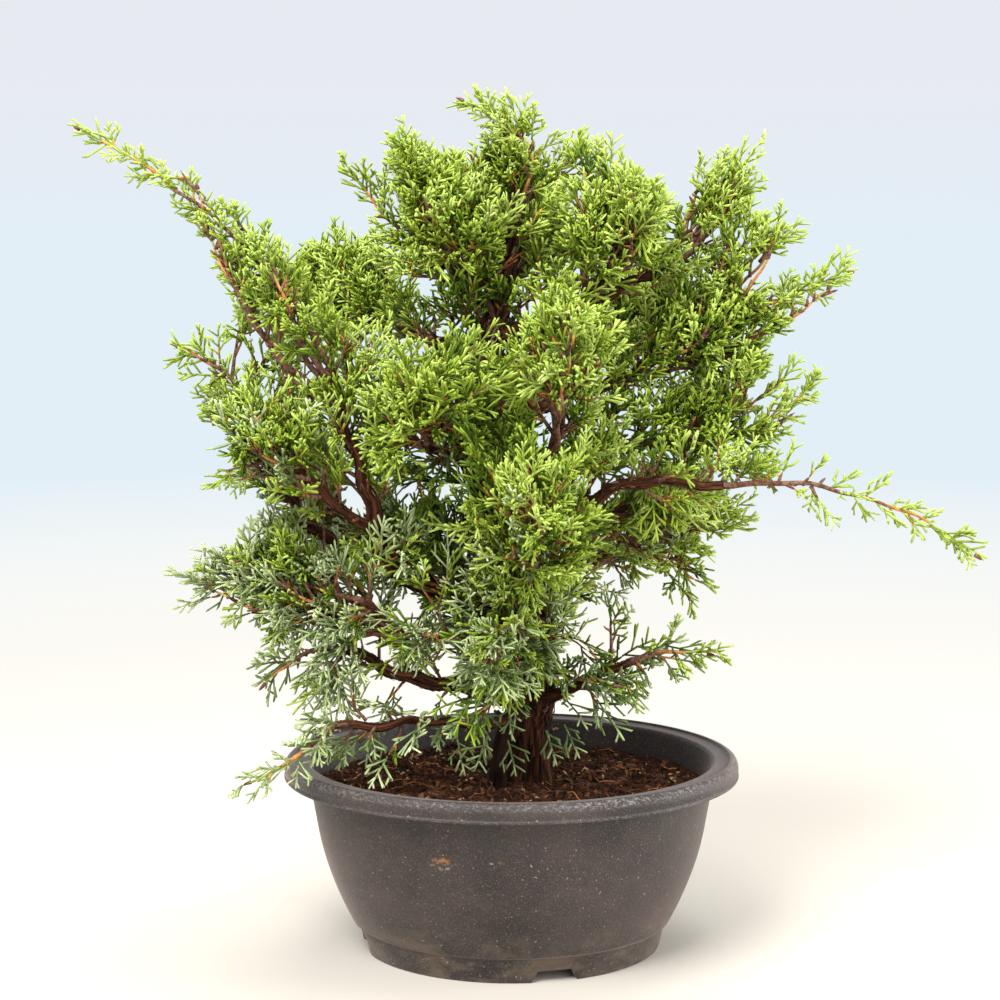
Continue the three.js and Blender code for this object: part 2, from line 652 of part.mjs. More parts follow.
const plant = new THREE.Group();
plant.add(named("pot", potBody(), POT_BLACK, POT_ROUGHNESS));
plant.add(named("soil", soilBody(), SOIL_BROWN, ROUGH));
plant.add(named("trunk", trunk.body, TRUNK_BROWN, ROUGH));
for (const limb of limbs.slice(1)) plant.add(named("bough_" + limb.name, limb.body, BOUGH_BROWN, ROUGH));
for (const mass of masses) {
  const body = largest(massBody(mass).subtract(mass.carrier.fat));
  const green = GREENS.find(([top]) => mass.path[LIMB_STEPS].z < top)[1];
  plant.add(named("foliage_" + mass.name, body, green, LEAF_ROUGHNESS));
}

const box = new THREE.Box3().setFromObject(plant);
const middle = box.getCenter(new THREE.Vector3());
plant.position.set(-middle.x, -middle.y, -box.min.z);

export default plant;
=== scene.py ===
"""A juniper bonsai in its oval plastic training pot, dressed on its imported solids.

Sizes are in millimetres from the middle of the pot's foot, as in the part's source, and become metres
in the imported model's own frame when a piece is made. Materials measure in metres.
"""

import bpy
import numpy as np
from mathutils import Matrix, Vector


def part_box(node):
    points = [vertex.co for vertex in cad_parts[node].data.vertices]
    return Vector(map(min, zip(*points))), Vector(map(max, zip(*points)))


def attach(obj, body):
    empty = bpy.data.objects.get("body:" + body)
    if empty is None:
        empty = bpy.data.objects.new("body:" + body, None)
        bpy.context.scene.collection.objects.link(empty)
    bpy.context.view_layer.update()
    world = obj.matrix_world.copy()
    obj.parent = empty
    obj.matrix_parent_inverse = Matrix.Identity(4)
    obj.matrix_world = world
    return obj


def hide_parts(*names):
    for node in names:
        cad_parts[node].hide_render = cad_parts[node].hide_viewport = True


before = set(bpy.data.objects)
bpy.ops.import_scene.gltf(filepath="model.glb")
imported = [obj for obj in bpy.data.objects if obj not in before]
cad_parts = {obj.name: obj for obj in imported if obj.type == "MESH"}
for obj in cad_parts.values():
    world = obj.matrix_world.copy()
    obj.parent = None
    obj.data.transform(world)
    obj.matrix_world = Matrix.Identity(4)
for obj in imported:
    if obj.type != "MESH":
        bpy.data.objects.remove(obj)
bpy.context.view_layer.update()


# The pot is one oval of black injection-moulded plastic: a thin wall that flares up from a notched foot
# ring to a flat flange with a turned-down lip. It is moulded in one piece, with a fine pebbled grain, and
# use has dusted its foot and rubbed its lip grey.

POT_LOW, POT_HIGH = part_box("pot")
POT_MIDDLE = np.array([(POT_LOW.x + POT_HIGH.x) / 2, (POT_LOW.y + POT_HIGH.y) / 2, 0.0])
POT_DEPTH_SHARE = 0.78
POT_HEIGHT = 98.3
POT_ROUND_STEPS = 300
POLE_HALF = 1.0
CORNER_ROUND = 1.1
RIM_HALF = 115.0
RIM_SKIRT = 9.5
RIM_STEP = 4.6
RIM_STEP_DROP = 1.2
RIM_INNER_HALF = 101.5
LIP_BEAD = 0.5
PLASTIC = 2.4
WALL_TOP_HALF = 102.6
WALL_FLARE = 0.17
WALL_FOOT_Z = 14.0
WALL_CURL = 9.0
WALL_CURL_HEIGHT = 48.0
WALL_CURL_POWER = 1.9
LINING_FOOT_Z = 20.0
FOOT_HALF = 75.7
FOOT_TOP_HALF = 78.6
FOOT_RING = 5.0
FLOOR_Z = 5.0
NOTCH_WIDTH = 20.0
NOTCH_HEIGHT = 6.0
NOTCH_HEADINGS = (-74, 10, 106, 190)
NOTCH_SLOPE = 2.6
POT_BLACK = (0.0085, 0.0058, 0.0050, 1)
POT_BLOOM = (0.034, 0.0232, 0.0208, 1)
# The pale tops of the pebbled grain: painted highlight.
POT_PEBBLE_HIGHLIGHT = (0.125, 0.098, 0.078, 1)
POT_SILVER = (0.270, 0.258, 0.255, 1)
POT_DUST = (0.105, 0.074, 0.048, 1)
POT_RUST = (0.260, 0.105, 0.032, 1)
POT_CHALK = (0.300, 0.225, 0.150, 1)

# The half widths and heights, in metres, over which the wear of the lip and the dust of the foot fade in. A
# scuff has its place across and up, its half width and its strength.
LIP_EDGE = (0.1112, 0.1132)
LIP_TOP = (0.0935, 0.0962)
UNDER_LIP = (0.1095, 0.1125)
UNDER_LIP_TOP = (0.0895, 0.0905)
UNDER_LIP_FOOT = (0.0885, 0.0889)
FOOT_DUST = (0.006, 0.036)
SCUFF_FRONT = POT_MIDDLE[1] - 0.0745
SCUFFS = (
    (POT_MIDDLE[0] - 0.0330, 0.0655, 0.0068, 0.9),
    (POT_MIDDLE[0] - 0.0055, 0.0665, 0.0028, 0.35),
)


def piece(name, points, faces, materials, of_face=None, smooth=True):
    """A named mesh that rides on the plant's body, from points in millimetres from the middle of the pot's
    foot and arrays of faces that hold the numbers of their corners."""
    mesh = bpy.data.meshes.new(name)
    placed = (np.asarray(points, float).reshape(-1, 3) / 1000 + POT_MIDDLE).astype(np.float32)
    loops = np.concatenate([np.asarray(group).ravel() for group in faces])
    sides = np.concatenate([np.full(len(group), np.shape(group)[1]) for group in faces])
    mesh.vertices.add(len(placed))
    mesh.vertices.foreach_set("co", placed.ravel())
    mesh.loops.add(len(loops))
    mesh.loops.foreach_set("vertex_index", loops.astype(np.int32))
    mesh.polygons.add(len(sides))
    mesh.polygons.foreach_set("loop_start", (np.cumsum(sides) - sides).astype(np.int32))
    mesh.polygons.foreach_set("use_smooth", np.full(len(sides), smooth))
    for material in materials:
        mesh.materials.append(material)
    if of_face is not None:
        mesh.polygons.foreach_set("material_index", np.asarray(of_face, np.int32))
    mesh.update(calc_edges=True)
    mesh.validate()
    made = bpy.data.objects.new(name, mesh)
    bpy.context.scene.collection.objects.link(made)
    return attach(made, "root")


def keep_vectors(made, name, values):
    """Stores one vector for each point of a piece, for its material to read."""
    stored = made.data.attributes.new(name, "FLOAT_VECTOR", "POINT")
    stored.data.foreach_set("vector", np.asarray(values, np.float32).ravel())


def grid_faces(rows, columns, first=0):
    """Quads between neighbouring rows of a grid whose columns close into a ring."""
    row, column = np.meshgrid(np.arange(rows - 1), np.arange(columns), indexing="ij")
    here, beside = row * columns + column, row * columns + (column + 1) % columns
    return first + np.stack([here, beside, beside + columns, here + columns], -1).reshape(-1, 4)


def capped(points, first=0):
    """The faces of a skin of rings of points: its wall, and one flat face at each end."""
    rows, columns = points.shape[:2]
    ends = np.stack([np.arange(columns)[::-1], (rows - 1) * columns + np.arange(columns)])
    return grid_faces(rows, columns, first), first + ends


def smoothstep(low, high, value):
    """0 below low, 1 above high, and 3t^2 - 2t^3 in between."""
    share = np.clip((value - low) / (high - low), 0, 1)
    return share * share * (3 - 2 * share)


def rounded(corners, radius, steps=4):
    """A profile whose corners are replaced by short arcs: each is a parabola from one neighbour's side to
    the other's, which starts and ends the radius away from the corner, or nearer on a short side."""
    corners = np.asarray(corners, float)
    smooth = [corners[:1]]
    for before, corner, after in zip(corners[:-2], corners[1:-1], corners[2:]):
        back, on = before - corner, after - corner
        reach = min(radius, 0.45 * np.linalg.norm(back), 0.45 * np.linalg.norm(on))
        start = corner + back / np.linalg.norm(back) * reach
        end = corner + on / np.linalg.norm(on) * reach
        share = np.linspace(0, 1, steps + 1)[:, None]
        smooth.append((1 - share) ** 2 * start + 2 * share * (1 - share) * corner + share ** 2 * end)
    return np.vstack(smooth + [corners[-1:]])


def wall_half(height):
    """The wall's outer half width: a straight flare, less a curl in towards the foot."""
    curl = np.maximum(0, 1 - (height - WALL_FOOT_Z) / WALL_CURL_HEIGHT)
    straight = WALL_TOP_HALF - WALL_FLARE * (POT_HEIGHT - RIM_SKIRT - height)
    return straight - WALL_CURL * curl ** WALL_CURL_POWER


class Wire:
    """A socket of a material's nodes. Sums and products on it add Math nodes, vector() and length() add
    Vector Math nodes, and node() adds any other node."""

    def __init__(self, tree, socket=None):
        self.tree = tree
        self.socket = socket

    def node(self, kind, settings=None, inputs=None, output=0):
        made = self.tree.nodes.new("ShaderNode" + kind)
        for name, value in (settings or {}).items():
            if name == "stops":
                ramp = made.color_ramp.elements
                while len(ramp) < len(value):
                    ramp.new(0.5)
                for element, (place, colour) in zip(ramp, value):
                    element.position = place
                    element.color = colour
            else:
                setattr(made, name, value)
        for name, value in (inputs or {}).items():
            if isinstance(value, Wire):
                self.tree.links.new(value.socket, made.inputs[name])
            else:
                made.inputs[name].default_value = value
        return Wire(self.tree, made.outputs[output])

    def maths(self, operation, first, second=0.0, clamp=False):
        return self.node("Math", {"operation": operation, "use_clamp": clamp}, {0: first, 1: second})

    def vector(self, operation, other):
        return self.node("VectorMath", {"operation": operation}, {0: self, 1: other})

    def length(self):
        return self.node("VectorMath", {"operation": "LENGTH"}, {0: self}, 1)

    def __add__(self, other):
        return self.maths("ADD", self, other)

    __radd__ = __add__

    def __sub__(self, other):
        return self.maths("SUBTRACT", self, other)

    def __rsub__(self, other):
        return self.maths("SUBTRACT", other, self)

    def __mul__(self, other):
        return self.maths("MULTIPLY", self, other)

    __rmul__ = __mul__

    def band(self, low, high):
        """0 below low, 1 above high, and smooth in between."""
        values = {"Value": self, "From Min": low, "From Max": high}
        return self.node("MapRange", {"interpolation_type": "SMOOTHSTEP"}, values)

    def noise(self, scale, detail=2.0, stretch=(1, 1, 1), roughness=0.5):
        """Fractal noise on this vector, with this many features in a metre, squeezed along each axis."""
        way = self.node("Mapping", {}, {"Vector": self, "Scale": stretch})
        values = {"Vector": way, "Scale": scale, "Detail": detail, "Roughness": roughness}
        return self.node("TexNoise", {}, values)

    def blend(self, first, second):
        """The first colour where this is 0 and the second where it is 1."""
        return self.node("Mix", {"data_type": "RGBA"}, {0: self, 6: first, 7: second}, 2)

    def part(self, axis):
        return self.node("SeparateXYZ", {}, {0: self}, axis)

    def relief(self, strength, depth):
        """A bump from this height, the depth in metres."""
        return self.node("Bump", {}, {"Height": self, "Strength": strength, "Distance": depth})


def new_material(name):
    """An empty material with a Principled shader: the material, its object coordinates and the shader."""
    material = bpy.data.materials.new(name)
    material.use_nodes = True
    shader = material.node_tree.nodes["Principled BSDF"]
    coordinates = Wire(material.node_tree).node("TexCoord", {}, {}, "Object")
    return material, coordinates, shader


def dress(shader, **inputs):
    """Sets a shader's sockets, by name with spaces as underscores, to plain values or wires."""
    for name, value in inputs.items():
        socket = shader.inputs[name.replace("_", " ")]
        if isinstance(value, Wire):
            value.tree.links.new(value.socket, socket)
        else:
            socket.default_value = value


def pot_plastic():
    """Near-black plastic: faint bloom, a pebbled grain whose tops are painted pale as highlight, silver wear
    on the lip's upper edge, dust at the foot and two small scuffs, each a rusty patch over a chalky crescent."""
    material, place, shader = new_material("pot_plastic")
    flat = place.vector("SUBTRACT", tuple(POT_MIDDLE)).vector("MULTIPLY", (1, 1 / POT_DEPTH_SHARE, 0))
    half, height = flat.length(), place.part(2)
    bloom = place.noise(18, 5, roughness=0.6).band(0.36, 0.7)
    pebbles = place.noise(1300, 2, roughness=0.6)
    # Where the pebbles stand highest the colour is painted pale, as highlight.
    grain = pebbles.band(0.5, 0.72)
    speck = place.noise(750, 1).band(0.72, 0.76)
    wear = place.noise(520, 4, (1, 1, 1.6), 0.7).band(0.47, 0.62)
    worn_where = place.noise(26, 3).band(0.38, 0.62)
    edge = half.band(*LIP_EDGE) * height.band(*LIP_TOP)
    under = half.band(*UNDER_LIP) * (1 - height.band(*UNDER_LIP_TOP)) * height.band(*UNDER_LIP_FOOT)
    silver = (edge * (0.45 + 0.55 * worn_where) + under * 0.35) * wear
    low_down = 1 - height.band(*FOOT_DUST)
    dusty = place.noise(55, 6, (1, 1, 1.6), 0.65).band(0.42, 0.66) * (0.10 + 0.75 * low_down)
    colour = bloom.blend(POT_BLACK, POT_BLOOM)
    colour = (grain * 0.5).blend(colour, POT_PEBBLE_HIGHLIGHT)
    colour = dusty.blend(colour, POT_DUST)
    colour = (silver * 0.6).blend(colour, POT_SILVER)
    colour = (speck * 0.75).blend(colour, POT_CHALK)
    for across, up, size, strength in SCUFFS:
        near = place.vector("SUBTRACT", (across, SCUFF_FRONT, up))
        far = near.vector("MULTIPLY", (1 / size, 4.0, 1.9 / size)).length()
        above = near.part(2)
        ragged = far + (place.noise(420, 5, roughness=0.7) - 0.5) * 1.5
        spots = place.noise(700, 3).band(0.36, 0.56)
        rust = (1 - ragged.band(0.30, 0.80)) * above.band(-0.0022, 0.0006) * spots
        crescent = far.band(0.62, 0.95) * (1 - far.band(0.95, 1.30)) * (1 - above.band(-0.0034, 0.0))
        chalk = crescent * place.noise(500, 4).band(0.42, 0.62)
        colour = (rust * strength).blend(colour, POT_RUST)
        colour = (chalk * strength * 0.7).blend(colour, POT_CHALK)
    bump = (pebbles * 0.8 + place.noise(38, 2) * 0.8 + wear * edge * 0.5).relief(0.6, 0.0006)
    roughness = 0.46 + 0.10 * bloom - 0.10 * silver + 0.25 * dusty
    dress(shader, Base_Color=colour, Roughness=roughness, Normal=bump, Specular_IOR_Level=0.42)
    dress(shader, Sheen_Weight=0.25, Sheen_Roughness=0.40, Sheen_Tint=(1.0, 0.80, 0.72, 1))
    return material


def oval(profile, steps):
    """A profile of half widths and heights carried round the pot's oval: row by row, ring by ring."""
    angle = np.linspace(0, 2 * np.pi, steps, endpoint=False)
    half, height = profile[:, :1], profile[:, 1:]
    return np.stack([half * np.cos(angle), half * np.sin(angle) * POT_DEPTH_SHARE, height + 0 * angle], -1)


def pot_points():
    """The pot's profile, from the middle of its underside out, up over the lip and down inside, carried
    round the oval. Where a notch is, the foot ring's edge is lifted to the notch's height, with sloping
    sides."""
    flange_z = POT_HEIGHT - PLASTIC
    skirt_z = POT_HEIGHT - RIM_SKIRT
    step_z = POT_HEIGHT - RIM_STEP_DROP
    step_half = RIM_HALF - RIM_STEP
    ring_half = FOOT_HALF - FOOT_RING
    wall_z = np.concatenate([np.linspace(WALL_FOOT_Z, 44, 14), np.linspace(47, flange_z, 12)])
    lining_z = np.concatenate([np.linspace(flange_z - PLASTIC, 47, 10), np.linspace(44, LINING_FOOT_Z, 8)])
    outer = np.stack([wall_half(wall_z), wall_z], -1)
    inner = np.stack([wall_half(lining_z) - PLASTIC, lining_z], -1)
    foot = [[ring_half, FLOOR_Z], [ring_half, 0], [FOOT_HALF, 0], [FOOT_TOP_HALF, WALL_FOOT_Z - 1]]
    lip = [
        [RIM_HALF - PLASTIC, flange_z], [RIM_HALF - PLASTIC, skirt_z], [RIM_HALF, skirt_z],
        [RIM_HALF, skirt_z + 1.1], [RIM_HALF - LIP_BEAD, skirt_z + 1.7], [RIM_HALF - 0.1, skirt_z + 4.2],
        [RIM_HALF - 0.4, skirt_z + 6.4], [RIM_HALF - 1.3, POT_HEIGHT - 1.2],
        [RIM_HALF - 2.7, POT_HEIGHT - 0.25], [RIM_HALF - 3.6, POT_HEIGHT], [step_half, POT_HEIGHT],
        [step_half - 0.6, step_z], [RIM_INNER_HALF + 1.2, step_z], [RIM_INNER_HALF, step_z - 1.2],
    ]
    inside = [[ring_half, FLOOR_Z + PLASTIC], [POLE_HALF, FLOOR_Z + PLASTIC]]
    profile = rounded(np.vstack([[[POLE_HALF, FLOOR_Z]], foot, outer, lip, inner, inside]), CORNER_ROUND, 3)
    points = oval(profile, POT_ROUND_STEPS)
    in_ring = (profile[:, 1] < FLOOR_Z) & (profile[:, 0] > ring_half - 0.5)
    for heading in np.radians(NOTCH_HEADINGS):
        middle = FOOT_HALF * np.array([np.cos(heading), np.sin(heading) * POT_DEPTH_SHARE])
        along = np.array([-np.sin(heading), np.cos(heading)])
        run = np.abs((points[..., :2] - middle) @ along)
        near = (points[..., :2] @ middle) > 0
        lift = NOTCH_HEIGHT * np.clip((NOTCH_WIDTH / 2 + NOTCH_SLOPE / 2 - run) / NOTCH_SLOPE, 0, 1) * near
        points[in_ring, :, 2] = np.maximum(points[in_ring, :, 2], lift[in_ring])
    return points


pot_rings = pot_points()
pot = piece("pot_shell", pot_rings, capped(pot_rings), [pot_plastic()])
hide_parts("pot")


# The soil is a loose dark mix of bark and peat, pressed in by hand to a little under the rim. Crumbs,
# reddish bark chips and the ends of old root fibres lie on it.

GROUND = 85.0
SOIL_LEVEL_RADIUS = 30.0
SOIL_EDGE_DROP = 2.2
SOIL_CLEAR = 0.6
SOIL_LOOSE = (6, 40)
SOIL_WAVES = ((0.9, 34, 3), (0.8, 11, 4), (0.6, 4.5, 5))
SOIL_ROUND_STEPS = 280
SOIL_SIDE_ROWS = 24
SOIL_ROWS = 90
CRUMBS = 6800
CRUMB_SIZES = ((0.7, 0.7, 0.6), (2.6, 2.0, 1.7))
CHIPS = 2600
CHIP_SIZES = ((1.8, 1.0, 0.4), (5.6, 2.4, 1.1))
CHIP_SHARES = (0.50, 0.38, 0.12)
FIBRES = 170
FIBRE_POINTS = 8
FIBRE_LENGTHS = (7, 26)
FIBRE_RADII = (0.14, 0.42)
FIBRE_SHARES = (0.42, 0.50, 0.08)
FIBRE_LIMIT = 93
SOIL_DARK = (0.0085, 0.0034, 0.0016, 1)
SOIL_BROWN = (0.066, 0.0225, 0.0088, 1)
SOIL_RED = (0.260, 0.088, 0.030, 1)
CHIP_COLOURS = ((0.030, 0.0125, 0.0060, 1), (0.135, 0.054, 0.024, 1), (0.430, 0.255, 0.135, 1))
FIBRE_TAN = (0.420, 0.150, 0.048, 1)
LEAF_BIT = (0.230, 0.300, 0.060, 1)
BLOCK_CORNERS = np.array([[a, b, c] for c in (-0.5, 0.5) for b in (-0.5, 0.5) for a in (-0.5, 0.5)])
BLOCK_SIDES = np.array([[0, 2, 3, 1], [4, 5, 7, 6], [0, 1, 5, 4], [2, 6, 7, 3], [0, 4, 6, 2], [1, 3, 7, 5]])


def waves(x, y, spread, seed, count=7):
    """Soft bumps: the mean of sine waves that run in scattered directions, each about the spread long."""
    chance = np.random.default_rng(seed)
    total = 0
    for _ in range(count):
        heading, phase = chance.uniform(0, np.pi), chance.uniform(0, 2 * np.pi)
        length = spread * chance.uniform(0.6, 1.5)
        total = total + np.sin((x * np.cos(heading) + y * np.sin(heading)) * 2 * np.pi / length + phase)
    return total / np.sqrt(count)


def soil_height(x, y):
    """The soil's surface: level round the trunk, lower towards the wall, with waves, clods and fine
    crumbs, each set by its height, its spread and its seed."""
    half = np.hypot(x, y / POT_DEPTH_SHARE)
    fall = SOIL_EDGE_DROP * smoothstep(SOIL_LEVEL_RADIUS, WALL_TOP_HALF, half)
    rough = sum(height * waves(x, y, spread, seed) for height, spread, seed in SOIL_WAVES)
    return GROUND - fall + smoothstep(*SOIL_LOOSE, half) * rough - 0.2


def soil_points():
    """The soil's body: up its flared side and in over its uneven top."""
    side_z = np.linspace(FLOOR_Z + PLASTIC + 0.4, GROUND - SOIL_EDGE_DROP - 1.2, SOIL_SIDE_ROWS)
    by_wall = wall_half(np.maximum(side_z, LINING_FOOT_Z)) - (PLASTIC + SOIL_CLEAR)
    side_half = np.where(side_z < LINING_FOOT_Z, FOOT_HALF - FOOT_RING - 1, by_wall)
    top_half = side_half[-1] * np.linspace(1, 0.004, SOIL_ROWS) ** 0.9
    top = np.stack([top_half, 0 * top_half + GROUND], -1)
    profile = np.vstack([[[POLE_HALF, side_z[0]]], np.stack([side_half, side_z], -1), top])
    points = oval(profile, SOIL_ROUND_STEPS)
    over = points[SOIL_SIDE_ROWS + 1:]
    over[..., 2] = soil_height(over[..., 0], over[..., 1])
    return points


def soil_mix():
    """Dark peat with brown and reddish flecks, matt, with a crumbly relief."""
    material, place, shader = new_material("soil_mix")
    patches = place.noise(90, 6, roughness=0.7).band(0.35, 0.68)
    flecks = place.noise(420, 3, (1, 0.5, 1), 0.7).band(0.56, 0.7)
    colour = flecks.blend(patches.blend(SOIL_DARK, SOIL_BROWN), SOIL_RED)
    bump = (place.noise(380, 5, roughness=0.75) + flecks * 0.4).relief(0.9, 0.0016)
    roughness = 0.85 + 0.1 * patches
    dress(shader, Base_Color=colour, Roughness=roughness, Normal=bump, Specular_IOR_Level=0.1)
    return material


def plain_matt(name, colour, roughness=0.85, fleck=0.35, scale=300):
    """A matt natural colour that darkens in small patches, with a slight relief."""
    material, place, shader = new_material(name)
    patch = place.noise(scale, 4, roughness=0.65).band(0.3, 0.72)
    dark = tuple(part * (1 - fleck) for part in colour[:3]) + (1,)
    dress(shader, Base_Color=patch.blend(dark, colour), Roughness=roughness)
    dress(shader, Normal=patch.relief(0.5, 0.0004), Specular_IOR_Level=0.15)
    return material


def scattered(count, chance, inner=8.0, outer=94.0):
    """Places spread evenly over the soil between two half widths: radius by the square root of chance."""
    half = np.sqrt(chance.uniform(inner ** 2, outer ** 2, count))
    angle = chance.uniform(0, 2 * np.pi, count)
    return half * np.cos(angle), half * np.sin(angle) * POT_DEPTH_SHARE


def unit(vectors):
    return vectors / np.maximum(np.linalg.norm(vectors, axis=-1, keepdims=True), 1e-9)


def blocks(middles, ways, corners):
    """Small blocks: a corner lies from its block's middle by its three lengths along the block's three
    ways. Gives points and faces."""
    points = sum((corners[..., i:i + 1] * way[:, None] for i, way in enumerate(ways)), middles[:, None])
    return points, (np.arange(len(middles))[:, None, None] * 8 + BLOCK_SIDES).reshape(-1, 4)


def lumps(count, sizes, seed):
    """Blocks scattered on the soil: each is a box with its own length, breadth and thickness, all its
    corners moved at random, turned any way round and tipped a little."""
    chance = np.random.default_rng(seed)
    x, y = scattered(count, chance)
    heading, tip = chance.uniform(0, 2 * np.pi, count), chance.normal(0, 0.45, count)
    size = chance.uniform(*sizes, (count, 3)) * chance.uniform(0.6, 1.25, (count, 1))
    corners = (BLOCK_CORNERS + chance.uniform(-0.16, 0.16, (count, 8, 3))) * size[:, None]
    along = np.stack([np.cos(heading) * np.cos(tip), np.sin(heading) * np.cos(tip), np.sin(tip)], -1)
    across = unit(np.cross([0, 0, 1], along) + chance.normal(0, 0.3, (count, 3)))
    over = unit(np.cross(along, across))
    middles = np.stack([x, y, soil_height(x, y) + 0.25 * size[:, 2]], -1)
    points, faces = blocks(middles, (along, np.cross(over, along), over), corners)
    return points, faces, chance


def tubes(paths, radii, sides, side_way):
    """Round rods along many paths at once. At each point of a path, across is the side way squared to the
    path and over is along x across: a ring lies at radius times (cos, sin) of equal angles between them. A
    path ends in a point, and its foot is closed by a flat face. Gives points, the triangles of all rods,
    and those of one."""
    many, rings = paths.shape[:2]
    after = np.concatenate([paths[:, 1:], paths[:, -1:]], 1)
    before = np.concatenate([paths[:, :1], paths[:, :-1]], 1)
    along = unit(after - before)
    across = unit(side_way[:, None] - along * np.sum(side_way[:, None] * along, -1, keepdims=True))
    over = np.cross(along, across)
    angle = np.linspace(0, 2 * np.pi, sides, endpoint=False)[:, None]
    ring = across[:, :-1, None] * np.cos(angle) + over[:, :-1, None] * np.sin(angle)
    body = paths[:, :-1, None] + ring * radii[:, :-1, None, None]
    points = np.concatenate([body.reshape(many, -1, 3), paths[:, -1:]], 1)
    steps, turn = np.meshgrid(np.arange(rings - 2), np.arange(sides), indexing="ij")
    low, low_next = steps * sides + turn, steps * sides + (turn + 1) % sides
    wall = np.concatenate([
        np.stack([low, low_next, low_next + sides], -1).reshape(-1, 3),
        np.stack([low, low_next + sides, low + sides], -1).reshape(-1, 3),
    ])
    last = (rings - 2) * sides
    turn = np.arange(sides)
    tip = np.stack([last + turn, last + (turn + 1) % sides, np.full(sides, (rings - 1) * sides)], -1)
    foot = np.stack([np.zeros(sides - 2, int), np.arange(2, sides), np.arange(1, sides - 1)], -1)
    local = np.concatenate([wall, tip, foot])
    each = (rings - 1) * sides + 1
    return points, (np.arange(many)[:, None, None] * each + local), local


def fibre_paths(count, seed):
    """Thin roots that lie over the soil in a slack curve and dip into it at both ends."""
    chance = np.random.default_rng(seed)
    x, y = scattered(count, chance, 6, 90)
    heading = chance.uniform(0, 2 * np.pi, count)
    length, bend = chance.uniform(*FIBRE_LENGTHS, count), chance.normal(0, 0.9, count)
    share = np.linspace(0, 1, FIBRE_POINTS)
    turned = heading[:, None] + bend[:, None] * share
    step = (length / (FIBRE_POINTS - 1))[:, None]
    px = x[:, None] + np.cumsum(np.cos(turned) * step, 1)
    py = y[:, None] + np.cumsum(np.sin(turned) * step, 1)
    inside = np.hypot(px, py / POT_DEPTH_SHARE).max(1) < FIBRE_LIMIT
    px, py, share = px[inside], py[inside], share[None]
    arch = chance.uniform(0.4, 2.6, (len(px), 1)) * np.sin(np.pi * share) - 0.5
    return np.stack([px, py, soil_height(px, py) + arch + 0.5], -1), chance


soil_rings = soil_points()
soil = piece("soil_bed", soil_rings, capped(soil_rings), [soil_mix()])
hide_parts("soil")

crumb_points, crumb_faces, _ = lumps(CRUMBS, CRUMB_SIZES, 21)
crumb_kind = plain_matt("peat_crumb", SOIL_BROWN, 0.9, 0.75, 170)
crumbs = piece("soil_crumbs", crumb_points, [crumb_faces], [crumb_kind], smooth=False)

chip_points, chip_faces, chip_chance = lumps(CHIPS, CHIP_SIZES, 22)
chip_kinds = [plain_matt("bark_chip_" + str(i), colour, 0.8, 0.4) for i, colour in enumerate(CHIP_COLOURS)]
chip_kind = np.repeat(chip_chance.choice(3, CHIPS, p=CHIP_SHARES), 6)
chips = piece("soil_bark_chips", chip_points, [chip_faces], chip_kinds, chip_kind, False)

fibre_ways, fibre_chance = fibre_paths(FIBRES, 23)
fibre_radii = fibre_chance.uniform(*FIBRE_RADII, (len(fibre_ways), 1)) * np.ones((1, FIBRE_POINTS))
fibre_sides = np.tile([0.0, 0.0, 1.0], (len(fibre_ways), 1))
fibre_points, fibre_faces, _ = tubes(fibre_ways, fibre_radii, 4, fibre_sides)
fibre_kinds = [
    plain_matt("root_fibre", FIBRE_TAN, 0.8), plain_matt("old_root_fibre", CHIP_COLOURS[1], 0.85),
    plain_matt("fallen_leaf_cord", LEAF_BIT, 0.8),
]
fibre_kind = np.repeat(fibre_chance.choice(3, len(fibre_ways), p=FIBRE_SHARES), fibre_faces.shape[1])
fibres = piece("soil_root_fibres", fibre_points, [fibre_faces.reshape(-1, 3)], fibre_kinds, fibre_kind)


# The trunk rises in an S from a flare of roots and tapers to the crown. Its bark is dark red-brown and
# peels in long fibrous strips with grey edges. It grew so, and the bark's strips follow its length.

TRUNK_WAY = np.array([
    [10, 0, 85], [10, 0, 112], [13.5, 2, 148], [4, 4, 194], [-12, 0, 235],
    [-21, -4, 263], [-17, -2, 295], [-5, 3, 327], [1, 2, 360],
], float)
TRUNK_THICK = (25.0, 9.0)
TRUNK_TAPER = 1.7
TRUNK_STEPS = 18
TRUNK_ROUND_STEPS = 112
TRUNK_RINGS = 440
TRUNK_RELIEF = 2.8
TRUNK_STRIPS = (9, 17, 31)
# Painted shade at the trunk's foot: how much it darkens the bark towards the soil, and the heights in metres
# over which it fades out.
TRUNK_FOOT_SHADE = 0.35
FOOT_SHADE_HEIGHT = (0.088, 0.150)
ROOT_SINK = 4.0
ROOT_HEADINGS = (178, 100, 25, -42, -128)
ROOT_STRENGTHS = (0.6, 0.5, 0.6, 0.45, 0.5)
ROOT_HEIGHT = 11.0
ROOT_NARROW = 6
FORK_HEADING = -96
FORK_DEPTH = 0.42
FORK_NARROW = 8
FORK_HEIGHT = 34.0
FOOT_SLIM = 0.27
BARK_BED = 0.86
BARK_LEVEL = 0.62
STRIP_WEIGHTS = (0.42, 0.33, 0.25)
STRIP_WANDER = ((1.5, 31), (0.9, 13), (0.35, 4.7))
UP = np.array([0.0, 0.0, 1.0])
RIGHT = np.array([1.0, 0.0, 0.0])
BARK_DARK = (0.0080, 0.0034, 0.0020, 1)
BARK_RED = (0.072, 0.0235, 0.0105, 1)
BARK_TAN = (0.170, 0.072, 0.036, 1)
BARK_GREY = (0.250, 0.165, 0.120, 1)

